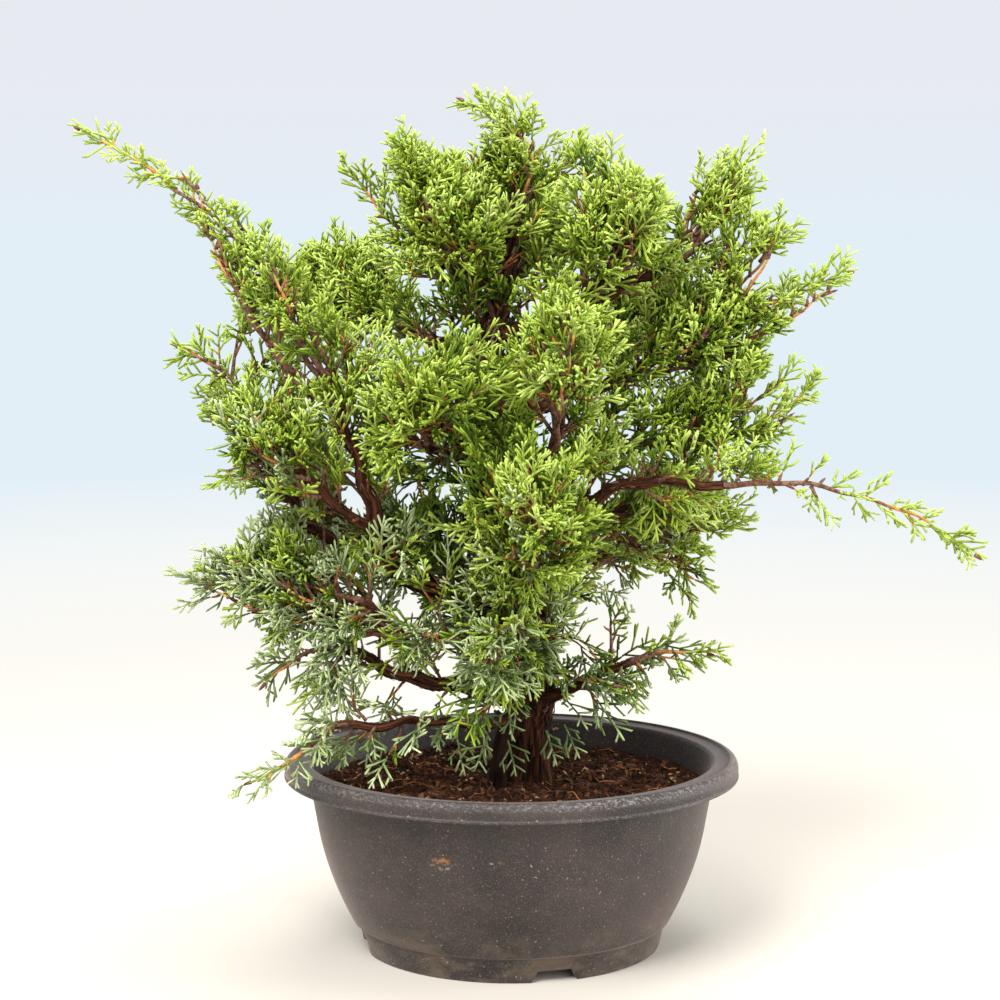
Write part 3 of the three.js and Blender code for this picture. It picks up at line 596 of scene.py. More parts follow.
# A second, thinner strand of the foot stands to its left with a dark gap between, and a worn stub of root
# beside it. Each has the knots of its line, and half its thickness at foot and tip.
STRANDS = {
    "trunk_left_strand": (
        ((-8, -9, 81), (-7.4, -8.5, 91), (-6, -7, 103), (-2, -4, 116), (4, -1, 130)), (4.0, 3.4)),
    "trunk_root_stub": (((-6, -15, 83), (-5, -16, 90), (-5.4, -17.5, 95)), (2.8, 2.2)),
}
STRAND_RINGS = 60
STRAND_ROUND_STEPS = 26
STRAND_RELIEF = 0.9
STRAND_STRIPS = (5, 9, 13)
# How much painted shade darkens the strands of the foot towards the soil.
STRAND_FOOT_SHADE = 0.85


def curve_through(knots, samples=40):
    """A smooth curve through knots: on each stretch the cubic whose slope at a knot is half the way from the
    knot before to the one after. Past the ends the knots go on straight."""
    knots = np.vstack([2 * knots[0] - knots[1], knots, 2 * knots[-1] - knots[-2]])
    share = np.linspace(0, 1, samples, endpoint=False)[None, :, None]
    before, start, end, after = (knots[i:len(knots) - 3 + i, None] for i in range(4))
    out, in_ = (end - before) / 2, (after - start) / 2
    bend = -3 * start + 3 * end - 2 * out - in_
    twist = 2 * start - 2 * end + out + in_
    points = start + out * share + bend * share ** 2 + twist * share ** 3
    return np.vstack([points.reshape(-1, 3), knots[-2]])


def point_along(path, share):
    """The point, or points, at a share of a path's length."""
    run = np.concatenate([[0], np.cumsum(np.linalg.norm(np.diff(path, axis=0), axis=1))])
    return np.stack([np.interp(np.asarray(share) * run[-1], run, path[:, i]) for i in range(3)], -1)


def even_points(path, count):
    """Points at equal lengths along a path, both its ends among them."""
    run = np.concatenate([[0], np.cumsum(np.linalg.norm(np.diff(path, axis=0), axis=1))])
    return np.stack([np.interp(np.linspace(0, run[-1], count), run, path[:, i]) for i in range(3)], -1)


def length_of(path):
    return np.linalg.norm(np.diff(path, axis=0), axis=1).sum()


def mixed(pair, share):
    """The first of a pair where the share is 0, the second where it is 1."""
    return pair[0] + (pair[1] - pair[0]) * share


def trunk_radius(share, angle, length):
    """Half the thickness, which tapers as 1 - share^1.7, times 1 plus the root lobes' swell, which falls off
    with height, less the groove between the two strands of the foot."""
    thick = TRUNK_THICK[1] + (TRUNK_THICK[0] - TRUNK_THICK[1]) * (1 - share ** TRUNK_TAPER)
    height = share * length
    swell = 0
    for heading, strength in zip(np.radians(ROOT_HEADINGS), ROOT_STRENGTHS):
        swell = swell + strength * np.maximum(0, np.cos(angle - heading)) ** ROOT_NARROW
    groove = FORK_DEPTH * np.maximum(0, np.cos(angle - np.radians(FORK_HEADING))) ** FORK_NARROW
    return thick / 2 * (1 + swell * np.exp(-height / ROOT_HEIGHT) - groove * np.exp(-height / FORK_HEIGHT))


def bark_relief(angle, run, strips, seed):
    """Peeling bark, from 0 in a furrow to 1 on a strip. Each wave has a whole number of strips round the
    limb, and its phase wanders along it. Slow waves along the limb lift some strips and end others."""
    chance = np.random.default_rng(seed)
    height = 0
    for count, weight in zip(strips, STRIP_WEIGHTS):
        phase = chance.uniform(0, 2 * np.pi, 4)
        wander = sum(swing * np.sin(run / spread + at) for (swing, spread), at in zip(STRIP_WANDER, phase))
        strip = np.abs(np.sin(count * angle / 2 + wander))
        broken = 0.72 + 0.28 * np.sin(run / 6.1 + 2.3 * np.sin(3 * angle + phase[3]) + phase[2])
        height = height + weight * strip ** 0.55 * broken
    return height


def limb_mesh(path, radius_at, rings, round_steps, relief_depth, strips, seed, reference):
    """A limb's skin: rings square to its path, at the radius for their share of the path and the angle
    round it, plus the bark's relief. Gives the points, the bark way of each, which runs round the limb and
    along it in metres, and its relief."""
    line = even_points(path, rings)
    along = unit(np.gradient(line, axis=0))
    across = unit(reference - along * (along @ reference)[:, None])
    over = np.cross(along, across)
    share = np.linspace(0, 1, rings)[:, None]
    angle = np.linspace(0, 2 * np.pi, round_steps, endpoint=False)[None]
    run = share * length_of(path)
    relief = bark_relief(angle, run, strips, seed)
    radius = radius_at(share, angle) + relief_depth * (relief - BARK_LEVEL)
    ring = across[:, None] * np.cos(angle)[..., None] + over[:, None] * np.sin(angle)[..., None]
    points = line[:, None] + ring * radius[..., None]
    way = np.stack([radius * np.cos(angle), radius * np.sin(angle), run + 0 * angle], -1) / 1000
    return points, way, relief


def bark(name, scale=1.0, red=BARK_RED, tan=BARK_TAN, foot_shade=0.0):
    """Fibrous bark: noise drawn out along the limb gives strips from nearly black to red-brown, the
    near-black laid in the furrows of the relief as painted shade, tan where young bark shows, and grey on the
    raised edges. The mesh stores each point's bark way and its relief.
    A share of painted shade darkens it towards the soil, where the crown shades the foot."""
    material, place, shader = new_material(name)
    way = Wire(material.node_tree).node("Attribute", {"attribute_name": "bark_way"}, {}, "Vector")
    stored = Wire(material.node_tree).node("Attribute", {"attribute_name": "bark_raised"}, {}, "Vector")
    raised = stored.part(0)
    strips = way.noise(520 * scale, 5, (1, 1, 0.1), 0.7)
    shreds = way.noise(1500 * scale, 4, (1, 1, 0.07), 0.7)
    patches = way.noise(75 * scale, 3, (1, 1, 0.5))
    # Darkest where the relief is low, in the furrows: painted shade. Red-brown on the strips.
    deep = (raised * 0.9 + strips * 0.5).band(0.45, 0.98)
    colour = deep.blend(BARK_DARK, red)
    colour = ((shreds * 0.6 + patches * 0.6).band(0.6, 0.82) * deep * 0.8).blend(colour, tan)
    flakes = (strips * 0.5 + shreds * 0.35 + raised * 0.45).band(0.83, 0.97) * patches.band(0.45, 0.62)
    colour = (flakes * 0.75).blend(colour, BARK_GREY)
    # Painted shade: darker towards the soil, where the crown shades the trunk's foot.
    colour = (foot_shade * (1 - place.part(2).band(*FOOT_SHADE_HEIGHT))).blend(colour, BARK_DARK)
    bump = (strips * 0.6 + shreds * 0.5).relief(0.85, 0.0007)
    roughness = 0.8 + 0.15 * patches
    dress(shader, Base_Color=colour, Roughness=roughness, Normal=bump, Specular_IOR_Level=0.1)
    return material


def bark_piece(name, points, faces, ways, relief, material):
    """A piece with its skin's bark ways and relief stored at its points."""
    made = piece(name, points, faces, [material])
    keep_vectors(made, "bark_way", ways)
    keep_vectors(made, "bark_raised", np.repeat(relief.reshape(-1, 1), 3, -1))
    return made


trunk_path = even_points(curve_through(TRUNK_WAY), TRUNK_STEPS + 1)
trunk_length = length_of(trunk_path)
trunk_line = np.vstack([trunk_path[0] - UP * ROOT_SINK, curve_through(trunk_path, 12)])
sunk = ROOT_SINK / length_of(trunk_line)


def trunk_skin(share, angle):
    """The radius at a share of the drawn line, which starts a little under the ground and is slimmer at its
    foot. The shreds of bark lie on it."""
    above = np.clip((share - sunk) / (1 - sunk), 0, 1)
    slim = 1 - FOOT_SLIM * np.exp(-above * trunk_length / FORK_HEIGHT)
    return BARK_BED * slim * trunk_radius(above, angle, trunk_length)


trunk_points, trunk_ways, trunk_relief = limb_mesh(
    trunk_line, trunk_skin, TRUNK_RINGS, TRUNK_ROUND_STEPS, TRUNK_RELIEF, TRUNK_STRIPS, 31, RIGHT)
trunk_bark = bark("trunk_bark", foot_shade=TRUNK_FOOT_SHADE)
trunk = bark_piece(
    "trunk_with_bark", trunk_points, capped(trunk_points), trunk_ways, trunk_relief, trunk_bark)
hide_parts("trunk")

foot_bark = bark("foot_bark", 1.2, foot_shade=STRAND_FOOT_SHADE)
for number, (name, (knots, halves)) in enumerate(STRANDS.items()):
    strand_points, strand_ways, strand_relief = limb_mesh(
        curve_through(np.array(knots, float)), lambda share, angle: mixed(halves, share) + 0 * angle,
        STRAND_RINGS, STRAND_ROUND_STEPS, STRAND_RELIEF, STRAND_STRIPS, 35 + number, RIGHT)
    strand = bark_piece(name, strand_points, capped(strand_points), strand_ways, strand_relief, foot_bark)


# The boughs leave the trunk with a swollen collar and taper to the foliage that hides their tips. They have
# the trunk's bark, thinner and redder, and small kinks where twigs once grew.

BOUGHS = {
    "left": ("trunk", 0.34, (-160, -156), (-14, 52), 83, (12.4, 9)),
    "left_riser": ("left", 1, (-132, -188), (68, 78), 94, (8.6, 4.4)),
    "left_outer": ("left", 0.92, (150, 188), (-2, 88), 111, (6.4, 4.2)),
    "left_mid": ("left_riser", 0.14, (-140, -152), (20, 56), 55, (5, 4.2)),
    "left_low": ("trunk", 0.15, (-162, -162), (6, 30), 106, (9.4, 4.4)),
    "left_rise": ("left_low", 0.65, (-126, -160), (82, 34), 48, (4.6, 4)),
    "left_ground": ("trunk", 0.1, (-150, -160), (10, 2), 107, (4.4, 3.8)),
    "right_low": ("trunk", 0.15, (-40, -24), (18, 32), 60, (6, 4.2)),
    "right_long": ("trunk", 0.41, (-56, 4), (50, -10), 125, (8, 4.2)),
    "right_mid": ("trunk", 0.57, (18, -10), (16, 4), 79, (7, 4.4)),
    "right_upper": ("trunk", 0.68, (24, -12), (2, 24), 90, (8.4, 4.4)),
    "upper_right": ("trunk", 0.82, (10, -30), (6, 46), 67, (7, 4.4)),
    "right_top": ("upper_right", 0.67, (18, 6), (14, 32), 62, (4.6, 4)),
    "right_shoulder": ("right_upper", 0.82, (26, -32), (20, 58), 67, (4.6, 4)),
    "right_hang": ("trunk", 0.36, (32, -8), (52, 18), 67, (6, 4.2)),
    "center_front": ("trunk", 0.54, (-52, -72), (-8, 82), 97, (6, 4.2)),
    "center_low": ("trunk", 0.4, (-58, -104), (8, 20), 60, (5.4, 4.2)),
    "left_center": ("trunk", 0.58, (-132, -106), (16, 20), 54, (5.6, 4.2)),
    "rear_right": ("trunk", 0.72, (54, 34), (4, 18), 95, (7, 4.4)),
    "rear_left": ("trunk", 0.79, (128, 144), (2, 18), 70, (6.4, 4.4)),
    "rear_mid": ("trunk", 0.55, (76, 80), (14, 10), 65, (6.4, 4.4)),
    "rear_left_low": ("trunk", 0.36, (146, 154), (8, 16), 81, (6.4, 4.4)),
    "rear_right_low": ("trunk", 0.3, (52, 44), (28, 12), 77, (6, 4.2)),
}
LIMB_STEPS = 6
BOUGH_ROUND_STEPS = 30
BOUGH_RING_STEP = 1.1
BOUGH_RELIEF = 0.24
BOUGH_STRIPS = (5, 9, 15)
KINK = 1.3
KINK_SPREADS = (4.3, 8.7)
COLLAR = 0.3
COLLAR_REACH = 9.0
LUMP = 0.13
BOUGH_RED = (0.100, 0.034, 0.0155, 1)
BOUGH_TAN = (0.240, 0.110, 0.060, 1)
FLAKES = 5600
FLAKE_SIZES = ((1.8, 0.3, 0.2), (7.5, 1.05, 0.5))
FLAKE_LIFT = 0.16
FLAKE_SLANT = 0.13
FLAKE_COLOURS = (
    (0.018, 0.0070, 0.0038, 1), (0.085, 0.029, 0.0135, 1), (0.190, 0.083, 0.044, 1), (0.330, 0.215, 0.155, 1),
)
FLAKE_SHARES = (0.4, 0.32, 0.19, 0.09)
# Below this height the bark flakes take only the two darkest colours, as painted shade under the crown.
SHADED_FLAKES_BELOW = 135.0
def grown(start, heading, climb, length):
    """A limb's path: six equal steps, whose heading round +Z and climb above the level turn evenly from
    the foot's to the tip's."""
    share = (np.arange(LIMB_STEPS) + 0.5) / LIMB_STEPS
    round_up, climbs = np.radians(mixed(heading, share)), np.radians(mixed(climb, share))
    flat = np.cos(climbs)
    ways = np.stack([flat * np.cos(round_up), flat * np.sin(round_up), np.sin(climbs)], -1)
    return np.vstack([start, start + np.cumsum(ways * length / LIMB_STEPS, 0)])


def bend_side(path):
    """A side way that stays square to a bent path: the normal of the plane it bends in, or a level one."""
    first, last = path[1] - path[0], path[-1] - path[-2]
    normal = np.cross(unit(first), unit(last))
    if np.linalg.norm(normal) > 0.25:
        return unit(normal)
    return unit(np.cross(unit(path[-1] - path[0]), [0.31, 0.2, 0.93]))


def kinked(path, amount, seed):
    """A smooth line through a path's bends, pushed a little to its sides by sine waves that die at its
    ends."""
    line = curve_through(path, 14)
    chance = np.random.default_rng(seed)
    share = np.linspace(0, 1, len(line))[:, None]
    side = bend_side(path)
    other = unit(np.cross(unit(path[-1] - path[0]), side))
    still = np.sin(np.pi * np.clip(share, 0, 1)) ** 0.5
    run = share * length_of(line)
    push = sum(np.sin(run / spread + chance.uniform(0, 6.3)) * way
               for spread in KINK_SPREADS for way in (side, other))
    return line + amount * still * push


limbs = {"trunk": (trunk_path, np.array(TRUNK_THICK))}
for name, (on, at, heading, climb, length, thick) in BOUGHS.items():
    limbs[name] = (grown(point_along(limbs[on][0], at), heading, climb, length), np.array(thick))


def bough_radius(number, name, share, angle):
    """A bough's radius: its taper, times the swell of its collar, times the lumps where twigs once grew."""
    run = share * BOUGHS[name][4]
    swell = 1 + COLLAR * np.exp(-run / COLLAR_REACH)
    lump = 1 + LUMP * np.sin(run / 5.3 + 2 * np.sin(angle) + number) * np.sin(run / 8.1 + angle + 2 * number)
    return mixed(limbs[name][1], share) / 2 * swell * lump


def bough_skins():
    """The skins of all boughs, one after the other: points, faces, bark ways and reliefs."""
    points, walls, ends, ways, reliefs, first = [], [], [], [], [], 0
    for number, name in enumerate(BOUGHS):
        rings = int(BOUGHS[name][4] / BOUGH_RING_STEP)
        skin, way, relief = limb_mesh(
            bough_lines[name], lambda share, angle: bough_radius(number, name, share, angle), rings,
            BOUGH_ROUND_STEPS, BOUGH_RELIEF * np.mean(limbs[name][1]), BOUGH_STRIPS, 70 + number,
            bend_side(limbs[name][0]))
        wall, cap = capped(skin, first)
        points.append(skin.reshape(-1, 3))
        walls.append(wall)
        ends.append(cap)
        ways.append(way.reshape(-1, 3))
        reliefs.append(relief.ravel())
        first += skin.shape[0] * skin.shape[1]
    return np.vstack(points), [np.vstack(walls), np.vstack(ends)], np.vstack(ways), np.concatenate(reliefs)


def bark_flakes(seed):
    """Shreds of bark that peel from trunk and boughs: thin blocks along the limb, one end lifted. A limb
    gets its share of them by its length and thickness, and the trunk has more towards its top."""
    chance = np.random.default_rng(seed)
    names = list(limbs)
    weight = np.array([length_of(limbs[name][0]) * np.mean(limbs[name][1]) for name in names])
    middles, alongs, outs, sizes = [], [], [], []
    for number, (name, part) in enumerate(zip(names, weight / weight.sum())):
        count = int(FLAKES * part)
        is_trunk = name == "trunk"
        line = trunk_line if is_trunk else bough_lines[name]
        share = chance.uniform(0.01, 0.97, count) ** (0.75 if is_trunk else 1)
        angle = chance.uniform(0, 2 * np.pi, count)
        middle = point_along(line, share)
        along = unit(point_along(line, share + 0.02) - point_along(line, share - 0.02))
        reference = RIGHT if is_trunk else bend_side(limbs[name][0])
        across = unit(reference - along * (along @ reference)[:, None])
        out = across * np.cos(angle)[:, None] + np.cross(along, across) * np.sin(angle)[:, None]
        radius = trunk_skin(share, angle) if is_trunk else bough_radius(number - 1, name, share, angle)
        middles.append(middle + out * (radius + 0.1)[:, None])
        alongs.append(along)
        outs.append(out)
        grown_by = np.clip(np.mean(limbs[name][1]) / 12, 0.45, 1.3)
        sizes.append(grown_by * chance.uniform(*FLAKE_SIZES, (count, 3)))
    middle, along, out, size = map(np.vstack, (middles, alongs, outs, sizes))
    lift = chance.normal(0, FLAKE_LIFT, (len(middle), 1))
    slant = chance.normal(0, FLAKE_SLANT, (len(middle), 1))
    along = unit(along + out * lift + np.cross(out, along) * slant)
    sideways = unit(np.cross(out, along))
    corners = (BLOCK_CORNERS + chance.uniform(-0.2, 0.2, (len(middle), 8, 3))) * size[:, None]
    points, faces = blocks(middle, (along, sideways, np.cross(along, sideways)), corners)
    return points, faces, chance


bough_lines = {name: kinked(limbs[name][0], KINK, 40 + number) for number, name in enumerate(BOUGHS)}
bough_points, bough_faces, bough_ways, bough_relief = bough_skins()
bough_bark = bark("bough_bark", 1.5, BOUGH_RED, BOUGH_TAN)
boughs = bark_piece("boughs_with_bark", bough_points, bough_faces, bough_ways, bough_relief, bough_bark)
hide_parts(*("bough_" + name for name in BOUGHS))

flake_points, flake_faces, flake_chance = bark_flakes(45)
flake_kinds = [
    plain_matt("bark_shred_" + str(i), colour, 0.85, 0.45) for i, colour in enumerate(FLAKE_COLOURS)]
flake_kind = flake_chance.choice(len(FLAKE_COLOURS), len(flake_points), p=FLAKE_SHARES)
# Painted shade: low down the flakes keep only the two darkest colours.
low_down = flake_points[:, 0, 2] < SHADED_FLAKES_BELOW
flake_kind = np.repeat(np.where(low_down, np.minimum(flake_kind, 1), flake_kind), 6)
flakes = piece("bark_shreds", flake_points, [flake_faces], flake_kinds, flake_kind, False)


# The foliage grows on from the boughs in masses, each with a stem that goes on from its bough. Twigs leave
# stems, boughs and trunk all round by the golden angle, run in between one another, and stop where the crown
# does. Their bark is flaky and red-brown, and orange-tan on the last year's growth.

MASSES = {
    "apex": ("trunk", 1, (-2, -224), (98, 16), 84, (30, 33, 22, 11, 9)),
    "upper_left": ("trunk", 0.88, (-138, -180), (34, 76), 85, (6, 35, 19)),
    "upper_tip": ("trunk", 0.84, (-188, -176), (40, 54), 104, (9, 16, 19, 10)),
    "upper_right": ("upper_right", 1, (-60, -70), (52, 58), 46, (32, 35, 25, 17)),
    "right_top": ("right_top", 1, (0, 0), (64, 50), 62, (26, 20, 9)),
    "right_shoulder": ("right_shoulder", 1, (-16, -34), (42, 48), 53, (26, 24, 10)),
    "right_cloud": ("right_upper", 1, (-20, 14), (32, 18), 117, (34, 36, 24, 13, 7)),
    "right_lower": ("right_mid", 1, (-18, 26), (-8, 50), 106, (32, 33, 22, 10, 7)),
    "right_long": ("right_long", 1, (-8, -10), (9, -39), 130, (24, 18, 16, 13, 8)),
    "right_hang": ("right_hang", 1, (-4, -34), (-26, -84), 60, (28, 25, 13)),
    "right_low": ("right_low", 1, (-20, -10), (26, -12), 43, (18, 21, 9)),
    "right_foot": ("trunk", 0.19, (-62, -40), (14, -4), 62, (4, 16, 17)),
    "center_front": ("center_front", 1, (-86, -92), (48, 56), 50, (28, 28, 22, 15)),
    "center_low": ("center_low", 1, (-92, -86), (14, 24), 48, (30, 33, 26, 17)),
    "center_foot": ("trunk", 0.26, (-102, -112), (18, -12), 79, (5, 26, 24)),
    "low_front": ("trunk", 0.18, (-106, -134), (10, -18), 75, (4, 18, 16)),
    "left_foot": ("trunk", 0.22, (-132, -146), (24, 8), 84, (4, 10, 24, 22)),
    "left_center": ("left_center", 1, (-100, -108), (36, 44), 50, (28, 29, 23, 15)),
    "left_top": ("left_riser", 1, (174, 190), (62, 25), 168, (30, 25, 16, 13, 10, 7)),
    "left_tip": ("left_outer", 1, (-148, -186), (68, 16), 57, (20, 20, 11)),
    "left_mid": ("left_mid", 1, (166, 168), (26, 10), 33, (34, 29)),
    "left_cloud": ("left_rise", 1, (172, 170), (16, -4), 81, (24, 32, 15)),
    "left_low": ("left_low", 1, (-170, -172), (0, -52), 46, (17, 18, 11)),
    "left_rim": ("left_ground", 1, (-134, -158), (-30, -18), 54, (14, 13, 9)),
    "rear_top": ("trunk", 0.9, (82, 74), (16, 36), 77, (6, 34, 32)),
    "rear_right": ("rear_right", 1, (44, 44), (20, 20), 47, (34, 34)),
    "rear_left": ("rear_left", 1, (138, 138), (24, 24), 42, (34, 34)),
    "rear_mid": ("rear_mid", 1, (88, 88), (16, 16), 44, (33, 35)),
    "rear_left_low": ("rear_left_low", 1, (150, 150), (18, 18), 43, (34, 38)),
    "rear_right_low": ("rear_right_low", 1, (44, 44), (16, 16), 38, (32, 36)),
    "rear_low": ("trunk", 0.22, (106, 94), (6, 8), 78, (5, 28, 26)),
}
LIMB_REACH = (4, 16, 26, 28)
TRUNK_REACH = (15, 25, 30, 32, 30, 26, 22)
CROWN_OVALS = (
    ((-18, -4, 258), (96, 70, 118)), ((36, 2, 365), (46, 40, 48)), ((-34, 0, 368), (36, 36, 45)),
    ((-108, -4, 292), (30, 38, 36)), ((100, -4, 250), (36, 36, 48)), ((36, -10, 186), (30, 28, 34)),
    ((-10, -70, 262), (70, 40, 66)), ((118, -4, 300), (30, 28, 30)), ((118, -6, 262), (24, 26, 20)),
    ((112, -8, 218), (24, 24, 22)), ((58, -12, 177), (18, 20, 22)), ((-128, -4, 320), (24, 26, 20)),
    ((-128, -6, 224), (22, 26, 16)), ((-106, -8, 122), (14, 16, 18)), ((-46, -20, 126), (14, 16, 9)),
    ((-58, 46, 292), (42, 38, 58)), ((34, 50, 282), (46, 38, 60)),
)
PLACES_AT_ONCE = 3000
TUFT_SPREAD = 7.5
TUFT_DEPTH = 13.0
TUFT_BACK = 1.4
LIMB_GAP = 1.0
POT_GAP = 2.5
BARE_FROM = (-75.0, -45.0)
BARE_SOIL = 22.0
LOW_LEAVES_AT = 18.0
LOW_LEAVES_WIDE = 18.0
LOW_LEAVES_SHARE = 0.7
GOLDEN_ANGLE = 180 * (3 - np.sqrt(5))
HEART_SKIN = -6.0
FULL_REACH = 34.0
SLIM_REACH = 17.0
SLIM_TIP = 10.0
LIFT_BETWEEN = (135.0, 215.0)
UNDERSIDE = -0.12
UNDERSIDE_SHARE = 0.45
TWIG_SKIN = 900.0
TWIG_SPACING = 4.6
SLIM_SPACING = 3.0
TWIG_LEAN = (78, 36)
TWIG_LEAN_SPREAD = 24.0
TWIG_LIFTS = (-0.16, 0.40)
TWIG_CURLS = (-0.16, 0.14)
TWIG_BOW = 0.3
TWIG_ZIGZAG = 0.45
TWIG_LONGEST = 68.0
TWIG_SHORTEST = 5.0
TWIG_SHARES = (0.66, 1.04)
TWIG_PAST = 13.0
BLADE_TURN = 2.5
RISERS = 4
MORE_RISERS = {"left_mid": 7, "left_cloud": 7, "left_top": 7}
RISER_REACH = 26.0
RISER_FEET = (0.06, 0.56)
RISER_TRUNK_STEP = 0.03
RISER_ENDS = (0.30, 0.76)
RISER_OUT = 0.55
RISER_UP = 0.2
RISER_PULL = (0.66, 0.66, 0.30)
RISER_TWIG_FROM = 0.38
RISER_TWIG_LEAN = 50.0
RISER_TWIG_LONGEST = 32.0
LIMB_TWIG_FROM = 0.22
TRUNK_TWIG_FROM = 0.08
LIMB_TWIG_STEP = 4.4
LIMB_TWIG_LEAN = 60.0
LIMB_TWIG_LONGEST = 40.0
SIDE_TWIGS = ((0.42, 1), (0.66, -1))
SIDE_TWIG_ANGLE = 42.0
SIDE_TWIG_ON = 13.0
SIDE_TWIG_LONGEST = 26.0
STEM_THICK = (3.6, 1.1)
STEM_GREEN = (4.0, 22.0)
STEM_POINTS = 25
STEM_SIDES = 6
STEM_KINK = 0.6
RISER_THICK = (3.5, 0.9)
RISER_KINK = 0.9
OLD_BARK_BY = 80.0
TWIG_THICK = (2.2, 0.9)
TWIG_RINGS = 6
TWIG_SIDES = 4
SIDE_TWIG_THIN = 0.72
OLD_TWIG_RINGS = (1.5, 5.5)
MARCH_STEP = 2.0
REACH_STEPS = 60
TWIG_RED = (0.095, 0.033, 0.015, 1)
TWIG_GREY = (0.230, 0.125, 0.082, 1)
TWIG_TAN = (0.480, 0.165, 0.038, 1)
TWIG_ORANGE = (0.640, 0.300, 0.090, 1)
STEM_LEAF = (0.340, 0.400, 0.080, 1)
STEM_LEAF_DARK = (0.230, 0.290, 0.040, 1)

# Sky shows through the crown in ovals on the upright plane through the pot's middle, each given by its middle
# across and up and its halves, as seen from the camera's place.
CAMERA_PLACE = np.array([-5.8, -973.0, 363.0])
SKY_GAPS = (
    (17, 264, 8, 10), (47, 236, 11, 7), (-78, 231, 8, 12), (-53, 231, 4, 7), (-51, 131, 15, 7),
    (-52, 172, 7, 6), (-66, 150, 10, 4), (37, 169, 6, 8), (-43, 331, 6, 4),
    (-32, 148, 5, 6), (-104, 366, 14, 8), (-84, 380, 9, 9), (123, 341, 10, 10), (-150, 254, 10, 12),
)

mass_names = list(MASSES)
space_names = mass_names + list(limbs)
mass_paths = np.stack([
    grown(point_along(limbs[on][0], at), heading, climb, length)
    for on, at, heading, climb, length, _ in MASSES.values()])
limb_paths = np.stack([even_points(path, LIMB_STEPS + 1) for path, _ in limbs.values()])
space_paths = np.concatenate([mass_paths, limb_paths])
reach_lists = [row[5] for row in MASSES.values()] + [TRUNK_REACH] + [LIMB_REACH] * len(BOUGHS)
space_reach = np.stack([
    np.interp(np.linspace(0, 1, REACH_STEPS + 1), np.linspace(0, 1, len(row)), row) for row in reach_lists])
mass_lengths = np.array([row[4] for row in MASSES.values()], float)
limb_starts = np.vstack([path[:-1] for path, _ in limbs.values()])
limb_spans = np.vstack([np.diff(path, axis=0) for path, _ in limbs.values()])
limb_radii = np.concatenate([
    mixed(thick, (np.arange(len(path) - 1) + 0.5) / (len(path) - 1)) / 2 for path, thick in limbs.values()])


def dealt(seed, index):
    """A number from 0 to 1 that is fixed by a seed and an index: the fraction of a large sine."""
    wave = np.sin(index * 12.9898 + seed * 78.233) * 43758.5453
    return wave - np.floor(wave)


def depth_in(spaces, places):
    """How far out in spaces the places lie: at the nearest of the six steps of a space's path, the distance
    to it over the reach there. Gives depth and reach, for each place and space."""
    starts, spans = space_paths[spaces, :-1], np.diff(space_paths[spaces], axis=-2)
    offset = places[:, None, None] - starts
    step = np.clip((offset * spans).sum(-1) / (spans ** 2).sum(-1), 0, 1)
    gap = np.linalg.norm(offset - step[..., None] * spans, axis=-1)
    share = (np.arange(LIMB_STEPS) + step) / LIMB_STEPS
    which = np.round(share * REACH_STEPS).astype(int)
    reach = space_reach[np.broadcast_to(spaces[..., None], which.shape), which]
    depth = gap / reach
    best = depth.argmin(-1)[..., None]
    return np.take_along_axis(depth, best, -1)[..., 0], np.take_along_axis(reach, best, -1)[..., 0]


def past_crown(places):
    """How many millimetres the places lie outside the crown's skin, which is where the nearest space ends.
    Below 0 they lie inside."""
    every = np.arange(len(space_names))[None]
    found = []
    for part in np.array_split(places, len(places) // PLACES_AT_ONCE + 1):
        depth, reach = depth_in(np.broadcast_to(every, (len(part), every.shape[1])), part)
        found.append(((depth - 1) * reach).min(1))
    return np.minimum(np.concatenate(found), past_heart(places))


def past_heart(places):
    """How far the places lie outside the crown's heart, the oval bodies in which its masses run together."""
    return np.min([(np.linalg.norm((places - middle) / np.array(halves), axis=-1) - 1) * min(halves)
                   for middle, halves in CROWN_OVALS], axis=0)


def tufts(places):
    """Hollows and swellings of the crown's skin, from about -1 to 1: a product of sine waves along the
    three axes, each of which another one bends."""
    x, y, z = np.moveaxis(places / TUFT_SPREAD, -1, 0)
    bent = (x + 1.4 * np.sin(0.7 * z), y + 1.2 * np.sin(0.8 * x), z + 1.3 * np.sin(0.9 * y))
    return np.sin(bent[0]) * np.sin(bent[1]) * np.sin(bent[2]) * 1.6


def clear_of_limbs(places):
    """True where a place is further from every limb's path than the limb's radius and a gap."""
    offset = places[:, None] - limb_starts
    step = np.clip((offset * limb_spans).sum(-1) / (limb_spans ** 2).sum(-1), 0, 1)
    gap = np.linalg.norm(offset - step[..., None] * limb_spans, axis=-1)
    return (gap > limb_radii + LIMB_GAP).all(1)


def clear_of_pot(places):
    """True above the soil and the rim, and outside them. Over the soil only the leaves at the trunk and at
    the left rim hang low."""
    half = np.hypot(places[:, 0], places[:, 1] / POT_DEPTH_SHARE)
    by_trunk = np.exp(-((places[:, 0] - LOW_LEAVES_AT) / LOW_LEAVES_WIDE) ** 2)
    bare = smoothstep(*BARE_FROM, places[:, 0]) * (1 - LOW_LEAVES_SHARE * by_trunk)
    floor = np.where(half > RIM_INNER_HALF - POT_GAP, POT_HEIGHT, GROUND + BARE_SOIL * bare) + POT_GAP
    return (half > RIM_HALF + POT_GAP) | (places[:, 2] > floor)


